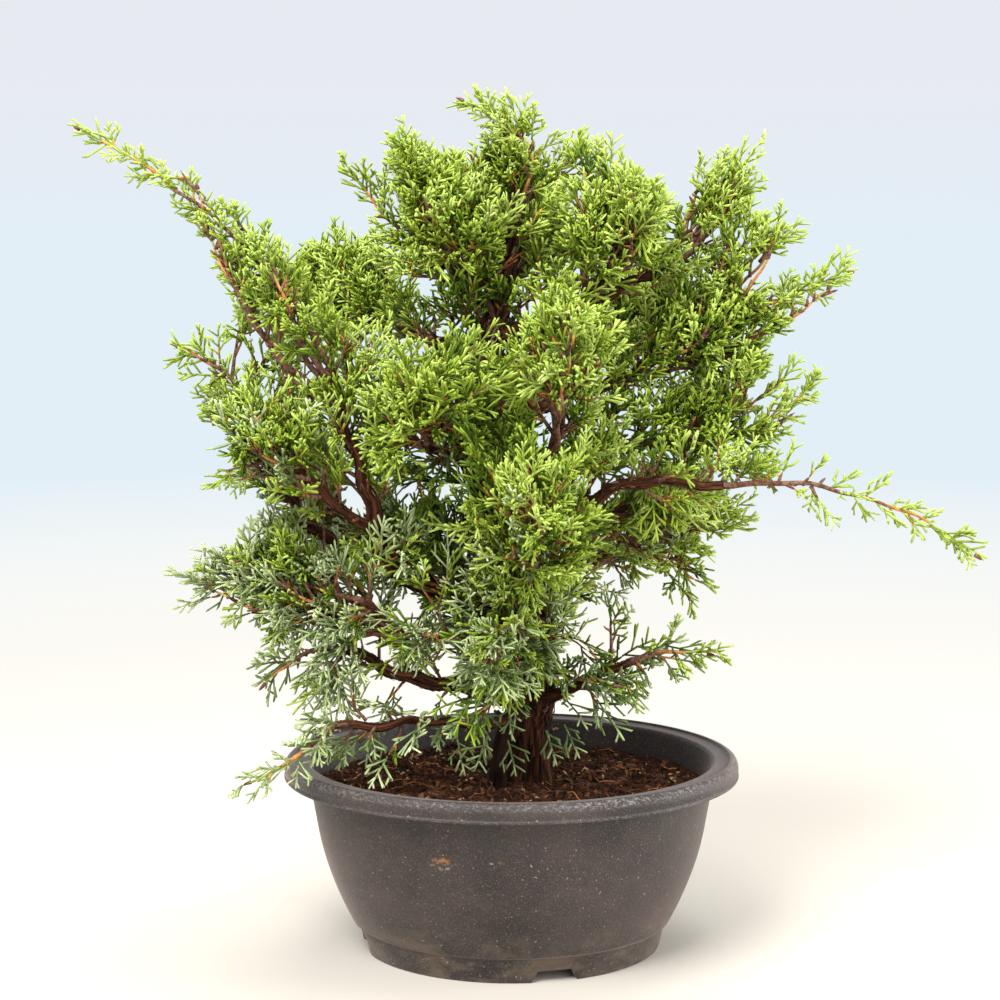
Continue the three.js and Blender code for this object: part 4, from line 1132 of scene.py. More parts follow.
def room(starts, ways, limit, fits):
    """The free way out from each start, up to the limit: it ends where the places no longer fit the space,
    or at a limb, the soil or the pot."""
    free_way = np.zeros(len(starts))
    going = np.arange(len(starts))
    for reach in np.arange(2 * MARCH_STEP, limit.max() + 0.1, MARCH_STEP):
        going = going[limit[going] >= reach]
        places = starts[going] + ways[going] * reach
        open_ = clear_of_pot(places) & clear_of_limbs(places)
        open_[open_] = fits(going[open_], places[open_])
        going = going[open_]
        free_way[going] = reach
    return free_way


def in_sky_gap(places):
    """True where a place, seen from the front, lies over one of the ovals where sky shows through the
    crown. A place is carried along the line of sight to the plane that the ovals stand on."""
    seen = CAMERA_PLACE + (places - CAMERA_PLACE) * (-CAMERA_PLACE[1] / (places[..., 1:2] - CAMERA_PLACE[1]))
    hit = np.zeros(places.shape[:-1], bool)
    for x, z, half, half_height in SKY_GAPS:
        hit |= ((seen[..., 0] - x) / half) ** 2 + ((seen[..., 2] - z) / half_height) ** 2 < 1
    return hit


def path_frames(path):
    """At each point of a path, the direction along it and two more square to that, carried on untwisted."""
    ends = np.vstack([path[:1], path, path[-1:]])
    along = unit(ends[2:] - ends[:-2])
    across = np.array([1.0, 0, 0]) if abs(along[0, 0]) < 0.9 else np.array([0, 1.0, 0])
    frames_found = []
    for way in along:
        across = unit(across - way * (across @ way))
        frames_found.append((way, across, np.cross(way, across)))
    return np.array(frames_found)


def round_about(path, share, turn, lean):
    """Ways out from a path at shares of it: leaning from its direction, and turned round it."""
    along, across, over = np.moveaxis(path_frames(path)[np.round(share * (len(path) - 1)).astype(int)], 1, 0)
    turn, lean = turn[:, None], np.radians(lean)[:, None]
    return along * np.cos(lean) + (across * np.cos(turn) + over * np.sin(turn)) * np.sin(lean)


def raised(starts, pair):
    """A pair of values by height: the first low down, where twigs hang, and the second in the crown, where
    they rise."""
    return mixed(pair, smoothstep(*LIFT_BETWEEN, starts[..., 2:]))


def mass_twigs(number):
    """A mass's twigs: they stand along its stem, closer where the reach is long and towards the tip, and turn
    round it by the golden angle. They lean forward more near the tip and where the reach is short."""
    path, seed = mass_paths[number], number + 1
    length, reach = mass_lengths[number], space_reach[number]
    shares, way = [], TWIG_SPACING / 2
    while way < length:
        share = way / length
        shares.append(share)
        across = reach[round(share * REACH_STEPS)]
        spacing = mixed((SLIM_SPACING, TWIG_SPACING), min(across / FULL_REACH, 1))
        way += min(spacing, TWIG_SKIN / (2 * np.pi * across * (1 + share)))
    share = np.array(shares)
    index = np.arange(len(share))
    turn = np.radians(index * GOLDEN_ANGLE + 360 * dealt(seed, 0))
    here = reach[np.round(share * REACH_STEPS).astype(int)]
    forward = np.minimum(np.maximum(share, 1 - here / FULL_REACH), 1)
    starts = point_along(path, share)
    slim = np.clip(here / FULL_REACH, 0, 1)[:, None]
    ways = round_about(path, share, turn, mixed(TWIG_LEAN, forward)) + slim * raised(starts, TWIG_LIFTS) * UP
    tip = path_frames(path)[-1, 0]
    full = np.concatenate([[True], here >= SLIM_REACH])
    starts = np.vstack([path[-1] - tip * 4, starts])[full]
    ways = unit(np.vstack([tip, ways]))[full]
    roll = np.concatenate([[0.5], dealt(seed, index + 1)])[full]
    slim = np.vstack([slim[-1:], slim])[full, 0]
    return starts, ways, roll, np.full(len(starts), number), np.full(len(starts), TWIG_LONGEST), slim


def riser_paths():
    """Side boughs that share each full mass with its stem. They leave the limb that bears the mass, each
    further back than the one before, and curve up to points round the stem that turn by the golden angle.
    A path is the parabola from start to end whose middle is pulled out level. Gives the paths and the
    numbers of their masses."""
    paths, owners = [], []
    for number, (name, (on, at, _, _, _, reach)) in enumerate(MASSES.items()):
        many = MORE_RISERS.get(name, RISERS)
        for step in range(many if max(reach) >= RISER_REACH else 0):
            back = at - RISER_FEET[0] - RISER_FEET[1] / many * step
            if on == "trunk":
                back = at + RISER_TRUNK_STEP * (step - 1.5)
            start = point_along(limbs[on][0], np.clip(back, 0.04, 0.98))
            share = RISER_ENDS[0] + RISER_ENDS[1] / many * step
            turn = np.radians(step * GOLDEN_ANGLE + 360 * dealt(120 + number, 0))
            across, over = path_frames(mass_paths[number])[round(share * LIMB_STEPS), 1:]
            here = space_reach[number][round(share * REACH_STEPS)]
            out = RISER_OUT * (across * np.cos(turn) + over * np.sin(turn)) + RISER_UP * UP
            end = point_along(mass_paths[number], share) + here * out
            pull = start + (end - start) * RISER_PULL
            along = np.linspace(0, 1, LIMB_STEPS + 1)[:, None]
            paths.append((1 - along) ** 2 * start + 2 * along * (1 - along) * pull + along ** 2 * end)
            owners.append(number)
    paths, owners = np.stack(paths), np.array(owners)
    ends, middles = paths[:, -1], paths[:, LIMB_STEPS // 2]
    furthest_out = past_crown(paths.reshape(-1, 3)).reshape(paths.shape[:2]).max(1)
    inside = (past_crown(ends) < -3) & (furthest_out < -1)
    grows = inside & clear_of_pot(ends) & ~in_sky_gap(ends) & ~in_sky_gap(middles)
    return paths[grows], owners[grows]


risers, riser_owners = riser_paths()


def limb_round(path, first, seed, lean):
    """Where twigs stand on a limb, from a share of its length on: at equal steps, turned round it by the
    golden angle and leaning from it by about an angle. Gives their shares and ways."""
    length = length_of(path)
    share = np.arange(first * length, length, LIMB_TWIG_STEP) / length
    index = np.arange(len(share))
    turn = np.radians(index * GOLDEN_ANGLE + 360 * dealt(seed, 0))
    leans = lean + TWIG_LEAN_SPREAD * (dealt(seed + 1, index) - 0.5)
    return share, round_about(path, share, turn, leans)


def riser_twigs(number):
    """Twigs on a side bough: one on at its tip, and the rest round its outer part."""
    path, seed = risers[number], 130 + number
    share, ways = limb_round(path, RISER_TWIG_FROM, seed, RISER_TWIG_LEAN)
    tip = path_frames(path)[-1, 0]
    starts = np.vstack([path[-1] - tip * 3, point_along(path, share)])
    ways = unit(np.vstack([tip, ways]) + raised(starts, TWIG_LIFTS) * UP)
    count = len(starts)
    return (starts, ways, dealt(seed + 2, np.arange(count)), np.full(count, riser_owners[number]),
            np.full(count, RISER_TWIG_LONGEST), np.ones(count))


def limb_twigs(number):
    """Twigs on a bare limb, from a little past its foot: each starts inside the bark."""
    name, (path, thick) = list(limbs.items())[number]
    first, seed = TRUNK_TWIG_FROM if name == "trunk" else LIMB_TWIG_FROM, 90 + number
    share, ways = limb_round(path, first, seed, LIMB_TWIG_LEAN)
    starts = point_along(path, share)
    ways = unit(ways + raised(starts, TWIG_LIFTS) * UP)
    starts = starts + ways * (mixed(thick, share) / 2)[:, None]
    count = len(starts)
    return (starts, ways, dealt(seed + 2, np.arange(count)), np.full(count, len(mass_names) + number),
            np.full(count, LIMB_TWIG_LONGEST), np.ones(count))


def blade_side(ways, roll):
    """A side way square to each twig: level, then turned about the twig by up to half the blade's turn, in
    radians."""
    level = unit(np.cross(ways, np.where(np.abs(ways[:, 2:]) < 0.95, UP, RIGHT)))
    turn = ((roll - 0.5) * BLADE_TURN)[:, None]
    return level * np.cos(turn) + np.cross(ways, level) * np.sin(turn)


twig_starts, twig_ways, twig_rolls, twig_owners, twig_limits, twig_slims = map(np.concatenate, zip(
    *[mass_twigs(number) for number in range(len(mass_names))],
    *[limb_twigs(number) for number in range(len(limbs))],
    *[riser_twigs(number) for number in range(len(risers))]))
def in_own_space(going, places):
    """True where a twig's place is still in the space of its own mass or limb, or in the crown's heart."""
    return (depth_in(twig_owners[going][:, None], places)[0][:, 0] <= 1) | (past_heart(places) < HEART_SKIN)


twig_room = room(twig_starts, twig_ways, twig_limits, in_own_space)
twig_deal = dealt(7, np.arange(len(twig_room)))
twig_lengths = np.maximum(twig_room * mixed(TWIG_SHARES, twig_deal) - TWIG_PAST, 0.35 * twig_room)
twig_tips = twig_starts + twig_ways * twig_lengths[:, None]
under = (twig_ways[:, 2] < UNDERSIDE) & (twig_slims > 0.6) & (twig_starts[:, 2] > LIFT_BETWEEN[1])
under = under & (dealt(8, np.arange(len(under))) > UNDERSIDE_SHARE)
grows = (twig_room >= TWIG_SHORTEST) & ~in_sky_gap(twig_tips) & ~under
twig_starts, twig_ways, twig_rolls, twig_owners, twig_lengths, twig_slims = (
    kept[grows] for kept in (twig_starts, twig_ways, twig_rolls, twig_owners, twig_lengths, twig_slims))
twig_sides = blade_side(twig_ways, twig_rolls)


def twig_points(share):
    """Points at shares along every twig: straight out, then lifted and swung by the square of the share,
    with a small bend to and fro. Low down the lift is a droop."""
    share = np.asarray(share, float)
    share = np.broadcast_to(share, (len(twig_starts), share.shape[-1]))[..., None]
    length = twig_lengths[:, None, None]
    deal = dealt(5, np.arange(len(twig_starts)))
    lift = (UP - twig_ways * twig_ways[:, 2:]) * raised(twig_starts, TWIG_CURLS)
    swing = twig_sides * ((deal - 0.5) * TWIG_BOW)[:, None]
    bow = lift * np.clip(twig_lengths / FULL_REACH, 0, 1)[:, None] + swing
    zigzag = np.sin(share * length / 1.9 + 6.3 * deal[:, None, None]) * twig_sides[:, None]
    straight = twig_ways[:, None] * share + bow[:, None] * share ** 2
    return twig_starts[:, None] + straight * length + TWIG_ZIGZAG * zigzag * np.sin(np.pi * share)

def side_twigs():
    """Second twigs leave the longer ones by turns to both sides, and reach as far as the crown does there.
    Gives starts, ways, sides, owners, lengths, and how full the crown is there."""
    chance = np.random.default_rng(58)
    long_ones = np.flatnonzero(twig_lengths > SIDE_TWIG_ON)
    starts, ways, sides = [], [], []
    for share, hand in SIDE_TWIGS:
        before, here = np.moveaxis(twig_points([share - 0.05, share])[long_ones], 1, 0)
        along = unit(here - before)
        spin = chance.normal(0, 0.5, (len(long_ones), 1))
        flat = twig_sides[long_ones]
        side = unit(np.cross(flat, along) * np.sin(spin) + flat * np.cos(spin))
        angle = np.radians(SIDE_TWIG_ANGLE + chance.normal(0, 7, (len(long_ones), 1)))
        ways.append(unit(along * np.cos(angle) + hand * side * np.sin(angle)))
        starts.append(here)
        sides.append(side)
    starts, ways, sides = map(np.concatenate, (starts, ways, sides))
    sides = unit(sides - ways * (ways * sides).sum(-1, keepdims=True))
    owners, slims, lengths = (
        np.tile(values[long_ones], len(SIDE_TWIGS)) for values in (twig_owners, twig_slims, twig_lengths))
    longest = np.minimum(lengths * 0.8, SIDE_TWIG_LONGEST)
    free_way = room(starts, ways, longest + TWIG_PAST, lambda going, places: past_crown(places) <= 0)
    lengths = np.minimum(longest, free_way - TWIG_PAST) * chance.uniform(0.7, 1.0, len(starts))
    grows = (lengths >= TWIG_SHORTEST) & ~in_sky_gap(starts + ways * lengths[:, None])
    return tuple(values[grows] for values in (starts, ways, sides, owners, lengths, slims))


main_twigs = len(twig_starts)
twig_starts, twig_ways, twig_sides, twig_owners, twig_lengths, twig_slims = map(np.concatenate, zip(
    (twig_starts, twig_ways, twig_sides, twig_owners, twig_lengths, twig_slims), side_twigs()))


def stem_lines():
    """Each mass's stem as one smooth line along its path, all but the last few millimetres, and each side
    bough as another."""
    stem_paths = [
        even_points(kinked(path, STEM_KINK, 200 + i), STEM_POINTS + 1) for i, path in enumerate(mass_paths)]
    riser_lines = [
        even_points(kinked(path, RISER_KINK, 240 + i), STEM_POINTS) for i, path in enumerate(risers)]
    return np.stack([path[:STEM_POINTS] for path in stem_paths] + riser_lines)


def twig_bark(name, colour, dark):
    """Thin bark: a plain colour that darkens in short rings and patches, with a slight relief."""
    material, place, shader = new_material(name)
    patch = place.noise(420, 4, roughness=0.75).band(0.40, 0.62)
    dress(shader, Base_Color=patch.blend(dark, colour), Roughness=0.75)
    dress(shader, Normal=patch.relief(0.6, 0.0005), Specular_IOR_Level=0.3)
    return material


def stem_bark():
    """A stem's bark from its flaky red-brown foot through last year's smooth orange to this year's green.
    The mesh stores how many metres of stem each point has below the green part."""
    material, place, shader = new_material("stem_bark")
    age = Wire(material.node_tree).node("Attribute", {"attribute_name": "growth_age"}, {}, "Vector").part(0)
    patch = place.noise(420, 4, roughness=0.75).band(0.40, 0.62)
    age = age + (place.noise(90, 3) - 0.5) * 0.014
    old = patch.blend(TWIG_RED, TWIG_GREY)
    young = patch.blend(TWIG_TAN, TWIG_ORANGE)
    green = patch.blend(STEM_LEAF_DARK, STEM_LEAF)
    colour = age.band(0.000, 0.008).blend(green, young)
    colour = age.band(0.012, 0.034).blend(colour, old)
    dress(shader, Base_Color=colour, Roughness=0.7 + 0.2 * patch, Normal=patch.relief(0.5, 0.0004))
    dress(shader, Specular_IOR_Level=0.25)
    return material


stem_share = np.linspace(0, 1, STEM_POINTS)
stem_radii = np.vstack([
    np.tile(mixed(STEM_THICK[::-1], (1 - stem_share) ** 1.6), (len(mass_paths), 1)),
    np.tile(mixed(RISER_THICK[::-1], 1 - stem_share), (len(risers), 1))]) / 2
stem_radii = stem_radii * (1 + 0.07 * np.sin(np.arange(STEM_POINTS) * 2.3) * (1 - stem_share))
stem_sides = np.stack([bend_side(path) for path in np.concatenate([mass_paths, risers])])
stem_points, stem_faces, _ = tubes(stem_lines(), stem_radii, STEM_SIDES, stem_sides)

last_ring = STEM_POINTS - 1
point_share = np.minimum(np.arange(stem_points.shape[1]) // STEM_SIDES, last_ring) / last_ring
stem_lengths = np.concatenate([mass_lengths, [length_of(path) for path in risers]])
slim_tips = [row[5][-1] < SLIM_TIP for row in MASSES.values()] + [False] * len(risers)
stem_green = np.where(slim_tips, STEM_GREEN[1], STEM_GREEN[0])[:, None]
stem_left = (1 - point_share) * np.maximum(stem_lengths, OLD_BARK_BY)[:, None]
stems = piece("foliage_stems", stem_points, [stem_faces.reshape(-1, 3)], [stem_bark()])
keep_vectors(stems, "growth_age", np.stack([stem_left - stem_green, stem_left, stem_left], -1) / 1000)

twig_lines = twig_points(np.linspace(0, 1, TWIG_RINGS))
twig_index = np.arange(len(twig_lines))
twig_thin = np.where(twig_index < main_twigs, 1, SIDE_TWIG_THIN)
twig_radii = np.linspace(TWIG_THICK[0] / 2, TWIG_THICK[1] / 2, TWIG_RINGS)[None] * twig_thin[:, None]
woody_points, woody_faces, woody_local = tubes(twig_lines, twig_radii, TWIG_SIDES, twig_sides)
old_rings = np.where(twig_index < main_twigs, mixed(OLD_TWIG_RINGS, dealt(9, twig_index)), 0)
ring_of_face = np.tile(woody_local.min(1) // TWIG_SIDES, len(twig_lines))
older = ring_of_face < np.repeat(old_rings, len(woody_local))
twig_barks = [twig_bark("young_twig", TWIG_TAN, TWIG_RED), twig_bark("older_twig", TWIG_GREY, TWIG_RED)]
twigs = piece("foliage_twigs", woody_points, [woody_faces.reshape(-1, 3)], twig_barks, older)


# The leaves are tiny scales pressed onto green cords 1 to 1.4 mm thick. The cords branch to both sides by
# turns into flat sprays, which stand along the twigs and at their ends. Sprays at the crown's skin and top
# are young and yellow-green, those inside and low down older, darker and greyer. The darker greens inside
# the crown and at its low front are partly painted shade, and the lighter ones at its skin and top partly
# painted light.

SPRAY_STEP = 5.4
SPRAY_RUNS = (12.0, 25.0)
SIDE_SPRAY_RUNS = (9.0, 17.0)
SHOOT_STEP = 5.6
SHOOT_LEANS = (54.0, 34.0)
SHOOT_LONGEST = 25.0
LEADER = 26.0
HANGING_SPRAYS = (
    ((17, -20, 116), (0.35, -0.15, -1.0)), ((26, -20, 119), (0.45, -0.1, -0.9)),
    ((-2, -24, 112), (0.25, -0.15, -0.95)), ((-12, -26, 114), (-0.35, -0.15, -0.9)),
    ((-27, -22, 112), (0.20, -0.15, -0.95)),
)
HANGING_LONG = 19.0
SPRAY_ANGLE = 36.0
SPRAY_SPIN = 0.85
SPRAY_RUN_SHARE = 0.75
SPRAY_LIFTS = (-0.24, 0.12)
SPRAY_REACHES = (24.0, 31.0)
SPRAY_SHORTEST = 8.0
SPRAY_LOOSE = (130.0, 235.0)
SPRAY_SLACKS = ((1.5, 1.6), (-2.5, 3.2))
CORD_THICK = 1.08
CORD_THICK_SPREAD = (0.88, 1.14)
CORD_ANGLE = 37.0
CORD_BELLY = 0.88

# Each cord of a spray's axis: where it starts and ends. Each side cord: where it leaves the axis, the side
# it turns to, and its length as a share of the spray's. Each smaller cord: the side cord that it leaves,
# where on it, and whether it turns out.
AXIS_CORDS = ((0, 0.36), (0.33, 0.69), (0.66, 1.0))
SIDE_CORDS = (
    (0.10, 1, 0.54), (0.23, -1, 0.56), (0.37, 1, 0.50), (0.51, -1, 0.43), (0.65, 1, 0.35), (0.79, -1, 0.27),
)
SMALL_CORDS = ((0, 0.40, 1), (1, 0.42, 1), (2, 0.42, 1), (3, 0.45, 1), (0, 0.70, -1), (1, 0.70, -1))
GREENS = {
    "young_tip": (0.455, 0.550, 0.172, 1),
    "fresh": (0.378, 0.480, 0.092, 1),
    "light": (0.292, 0.385, 0.045, 1),
    "leaf": (0.214, 0.298, 0.023, 1),
    "deep": (0.088, 0.147, 0.010, 1),
    "inner": (0.031, 0.056, 0.005, 1),
    "grey_tip": (0.495, 0.565, 0.305, 1),
    "grey": (0.330, 0.400, 0.172, 1),
    "grey_deep": (0.130, 0.178, 0.056, 1),
    "amber": (0.500, 0.275, 0.045, 1),
}
LEAF_PIECES = {
    "crown": ("foliage_high", ("apex", "upper_left", "upper_tip", "upper_right")),
    "right_crown": ("foliage_high", ("right_top", "right_shoulder", "right_cloud", "right_lower")),
    "front_crown": ("foliage_high", ("center_front", "left_center")),
    "left_crown": ("foliage_high", ("left_top", "left_tip")),
    "rear_right_crown": ("foliage_high", ("rear_top", "rear_right")),
    "rear_left_crown": ("foliage_high", ("rear_left",)),
    "right_middle": ("foliage_middle", ("right_long", "right_hang")),
    "left_middle": ("foliage_middle", ("left_mid", "left_cloud", "center_low")),
    "rear_middle": ("foliage_middle", ("rear_mid", "rear_left_low", "rear_right_low")),
    "low": ("foliage_low", ("right_low", "right_foot", "center_foot", "low_front", "left_foot", "left_low",
                            "left_rim", "rear_low")),
}
LEAVES_OF_LIMB = {
    "trunk": "center_foot", "left": "left_mid", "left_riser": "left_top", "left_outer": "left_tip",
    "left_rise": "left_cloud", "left_ground": "left_rim", "right_mid": "right_lower",
    "right_upper": "right_cloud",
}

# A spray's tone runs from 0, young, to 4, inner, and picks a row: the greens of its older, middle and young
# cords, by their places among the greens. The other values say how far skin, height, twig, chance and shade
# move a tone, and where sprays are greyed. Skin and height move it partly as painted shade and light, and
# shade darkens the low sprays, except at the left, as painted shade.
FRESH_TONES = np.array([[1, 1, 0], [2, 1, 1], [3, 2, 1], [4, 3, 2], [5, 4, 3]])
GREY_TONES = np.array([[7, 6, 6], [7, 7, 6], [8, 7, 6], [8, 7, 7], [8, 8, 7]])
AMBER = list(GREENS).index("amber")
AMBER_SHARE = 0.2
INNER_TONE = 5.25
SKIN_TONES = 3.2
SKIN_BAND = (-30, -10)
TOP_TONES = 0.7
TOP_BAND = (110, 330)
TWIG_TONES = 1.9
STRAY_TONES = 0.4
SHADED_TONES = 2.6
SHADED_BELOW = (110.0, 200.0)
SHADED_FROM = (-65.0, -25.0)
GREY_BAND = (115, 235)
GREY_LEAN = 0.40
GREY_TWIGS = 70
GREY_LEAST = 0.08


def spray_stations():
    """Where sprays stand: at each twig's end, and round it by turns at equal steps back from there."""
    chance = np.random.default_rng(61)
    run = np.where(np.arange(len(twig_lengths)) < main_twigs, raised(twig_starts, SPRAY_RUNS)[:, 0],
                   raised(twig_starts, SIDE_SPRAY_RUNS)[:, 0])
    counts = 1 + np.floor(np.minimum(twig_lengths * SPRAY_RUN_SHARE, run) / SPRAY_STEP).astype(int)
    twig = np.repeat(np.arange(len(twig_lengths)), counts)
    index = np.arange(len(twig)) - np.repeat(np.cumsum(counts) - counts, counts)
    share = np.clip(1 - index * SPRAY_STEP / twig_lengths[twig], 0.05, 1)
    lines = twig_points(np.linspace(0, 1, 21))
    at = share * 20
    low = np.minimum(at.astype(int), 19)
    start = lines[twig, low] + (lines[twig, low + 1] - lines[twig, low]) * (at - low)[:, None]
    along = unit(lines[twig, low + 1] - lines[twig, low])
    side = unit(twig_sides[twig] - along * (along * twig_sides[twig]).sum(-1, keepdims=True))
    over = np.cross(along, side)
    spin = chance.normal(0, SPRAY_SPIN, len(twig))[:, None]
    side, over = side * np.cos(spin) + over * np.sin(spin), over * np.cos(spin) - side * np.sin(spin)
    turn = np.radians(np.where(index == 0, 0, SPRAY_ANGLE + chance.normal(0, 8, len(twig))))
    turn = (turn * np.where(index % 2 == 0, 1, -1))[:, None]
    way = unit(along * np.cos(turn) + side * np.sin(turn) + raised(start, SPRAY_LIFTS) * UP)
    side = unit(side * np.cos(turn) - along * np.sin(turn))
    side = unit(side - way * (side * way).sum(-1, keepdims=True))
    return twig, start, way, side


spray_twig, spray_starts, spray_ways, spray_sides = spray_stations()
spray_chance = np.random.default_rng(62)
spray_slim = twig_slims[spray_twig]
slack_middle, slack_spread = (mixed(pair, spray_slim) for pair in zip(*SPRAY_SLACKS))
spray_slack = np.clip(spray_chance.normal(slack_middle, slack_spread), -9, 5)
spray_loose = 1 - smoothstep(*SPRAY_LOOSE, spray_starts[:, 2])
spray_longest = mixed(SPRAY_REACHES, spray_loose) * spray_chance.uniform(0.62, 1.0, len(spray_twig))


def in_tufts(going, places):
    """True where a spray's place is under the crown's skin, as the tufts and the spray's slack move it."""
    moved = spray_slack[going] + spray_slim[going] * (TUFT_DEPTH * tufts(places) - TUFT_BACK)
    return past_crown(places) <= moved


spray_room = room(spray_starts, spray_ways, spray_longest, in_tufts)
spray_lengths = np.minimum(spray_room + MARCH_STEP / 2, spray_longest)
spray_middles = spray_starts + spray_ways * (spray_lengths * 0.5)[:, None]
spray_ends = spray_starts + spray_ways * (spray_lengths * 0.9)[:, None]
kept = (spray_lengths >= SPRAY_SHORTEST) & ~in_sky_gap(spray_middles) & ~in_sky_gap(spray_ends)
spray_twig, spray_starts, spray_ways, spray_sides, spray_lengths = (
    values[kept] for values in (spray_twig, spray_starts, spray_ways, spray_sides, spray_lengths))


def shoot_sprays():
    """The slim shoots bear sprays straight on their stems: round them by the golden angle, leaning forward
    more towards the tip, as long as the reach there allows. The last one leads on from the stem's end."""
    found = []
    for number in range(len(mass_names)):
        path, length = mass_paths[number], mass_lengths[number]
        share = np.arange(SHOOT_STEP, length - LEADER / 3, SHOOT_STEP) / length
        here = space_reach[number][np.round(share * REACH_STEPS).astype(int)]
        share, here = share[here < SLIM_REACH], here[here < SLIM_REACH]
        index = np.arange(len(share))
        turn = np.radians(index * GOLDEN_ANGLE + 360 * dealt(140 + number, 0))
        lean = mixed(SHOOT_LEANS, share) + 10 * (dealt(141 + number, index) - 0.5)
        ways = round_about(path, share, turn, lean)
        tip = path_frames(path)[-1, 0]
        starts = np.vstack([path[-1] - tip * (LEADER - 2), point_along(path, share)])
        longest = np.minimum(here * 1.2 + 3, SHOOT_LONGEST)
        lengths = np.concatenate([[LEADER], longest * (0.72 + 0.3 * dealt(142 + number, index))])
        ways = np.vstack([tip, ways])
        sides = blade_side(ways, dealt(143 + number, np.arange(len(starts))))
        found.append((np.full(len(starts), number), starts, ways, sides, lengths))
    return map(np.concatenate, zip(*found))


def foot_sprays():
    """Old sprays that hang over the soil in front of the trunk's foot, with their flat sides to the front."""
    starts, ways = np.moveaxis(np.array(HANGING_SPRAYS, float), 1, 0)
    ways = unit(ways)
    owners = np.full(len(ways), mass_names.index("low_front"))
    return owners, starts, ways, unit(np.cross(ways, [0.0, 1.0, 0.2])), np.full(len(ways), HANGING_LONG)


shoots = list(shoot_sprays())
shoot_ends = shoots[1] + shoots[2] * shoots[4][:, None]
shoot_shown = clear_of_pot(shoot_ends) & ~in_sky_gap(shoot_ends)
shoot_owners, *shoot_values = (
    np.concatenate([shoot[shoot_shown], hanging]) for shoot, hanging in zip(shoots, foot_sprays()))
spray_owners = np.concatenate([twig_owners[spray_twig], shoot_owners])
spray_twig = np.concatenate([spray_twig, len(twig_starts) + np.arange(len(shoot_owners)) // 3])
spray_starts, spray_ways, spray_sides, spray_lengths = map(
    np.concatenate, zip((spray_starts, spray_ways, spray_sides, spray_lengths), shoot_values))
spray_loose = 1 - smoothstep(*SPRAY_LOOSE, spray_starts[:, 2])
mass_of_space = np.array(list(range(len(mass_names))) + [
    mass_names.index(LEAVES_OF_LIMB.get(name, name if name in MASSES else "apex")) for name in limbs])
spray_masses = mass_of_space[spray_owners]


def spray_cords(starts, ways, sides, lengths, loose, chance):
    """The cords of many sprays: their roots and ends, and how young each is. The axis is three cords in a
    slight upward bend. Side cords leave it by turns and point forward, and smaller ones leave those."""
    many = len(starts)
    over = np.cross(ways, sides)
    curl = (UP - ways * ways[:, 2:]) * (chance.uniform(-0.06, 0.26, (many, 1)) - 0.3 * loose[:, None])
    curl = curl + over * chance.normal(0, 0.12, (many, 1))
    size = lengths[:, None]

    def axis_point(share):
        return starts + (ways * share + curl * share ** 2) * size

    roots = [axis_point(start) for start, _ in AXIS_CORDS]
    ends = [axis_point(end) for _, end in AXIS_CORDS]
    young = [0, 1, 2]
    placed = []
    for share, hand, reach in SIDE_CORDS:
        angle = np.radians(CORD_ANGLE + 6 * loose[:, None] + chance.normal(0, 8, (many, 1)))
        tilt = chance.normal(0, 0.34, (many, 1))
        way = unit(ways * np.cos(angle) + hand * sides * np.sin(angle) + over * tilt + curl * 1.2 * share)
        root = axis_point(share)
        length = size * reach * chance.uniform(0.75, 1.2, (many, 1))
        roots.append(root)
        ends.append(root + way * length)
        young.append(2 if share > 0.45 else 1)
        placed.append((root, way, length, hand))
    for number, share, outward in SMALL_CORDS:
        root, way, length, hand = placed[number]
        stray = over * chance.normal(0, 0.3, (many, 1))
        turned = unit(way + 0.55 * outward * hand * sides + 0.3 * ways + stray)
        begin = root + way * length * share
        roots.append(begin)
        ends.append(begin + turned * length * 0.52)
        young.append(1)
    return np.stack(roots, 1), np.stack(ends, 1), np.array(young)


def cord_bodies(roots, ends, thick, chance):
    """Blunt three-sided rods: a little narrower at the root, full near the end, then a short point."""
    reach = ends - roots
    stray = chance.normal(0, 0.035, roots.shape) * np.linalg.norm(reach, axis=-1, keepdims=True)
    belly = roots + reach * CORD_BELLY + stray
    paths = np.stack([roots, belly, ends], 1)
    radii = np.stack([0.50 * thick, 0.56 * thick, 0 * thick], -1)
    side = unit(np.cross(unit(reach), chance.normal(0, 1, reach.shape)))
    points, faces, _ = tubes(paths, radii, 3, side)
    return points, faces


def spray_tones(chosen, chance):
    """A tone for each spray from 0, young, to 4, inner, and whether it is greyed. Sprays of one twig are
    alike. Low sprays are greyer. Those under the crown's skin are darker and those near the top lighter,
    partly as painted shade and light, and low sprays, except at the left, are darker by painted shade."""
    starts, twig = spray_starts[chosen], spray_twig[chosen]
    outer = smoothstep(*SKIN_BAND, spray_pasts[chosen])
    height = smoothstep(*TOP_BAND, starts[:, 2])
    # Darker deeper under the skin and lighter higher up: partly older and younger growth, partly painted
    # shade and light.
    tone = INNER_TONE - SKIN_TONES * outer - TOP_TONES * height + TWIG_TONES * (dealt(14, twig) - 0.5)
    tone = tone + chance.normal(0, STRAY_TONES, len(starts))
    shaded = (1 - smoothstep(*SHADED_BELOW, starts[:, 2])) * smoothstep(*SHADED_FROM, starts[:, 0])
    tone = tone + SHADED_TONES * shaded
    grey_height = starts[:, 2] + GREY_LEAN * starts[:, 0] + GREY_TWIGS * (dealt(15, twig) - 0.5)
    fresh = GREY_LEAST + (1 - GREY_LEAST) * smoothstep(*GREY_BAND, grey_height)
    grey = chance.uniform(0, 1, len(starts)) > fresh
    return np.clip(np.round(tone), 0, 4).astype(int), grey


def leaf_green(name, colour):
    """The plain green of one batch of sprays, with the waxy half-gloss of scale leaves."""
    material, _, shader = new_material(name)
    dress(shader, Base_Color=colour, Roughness=0.5, Specular_IOR_Level=0.2)
    return material


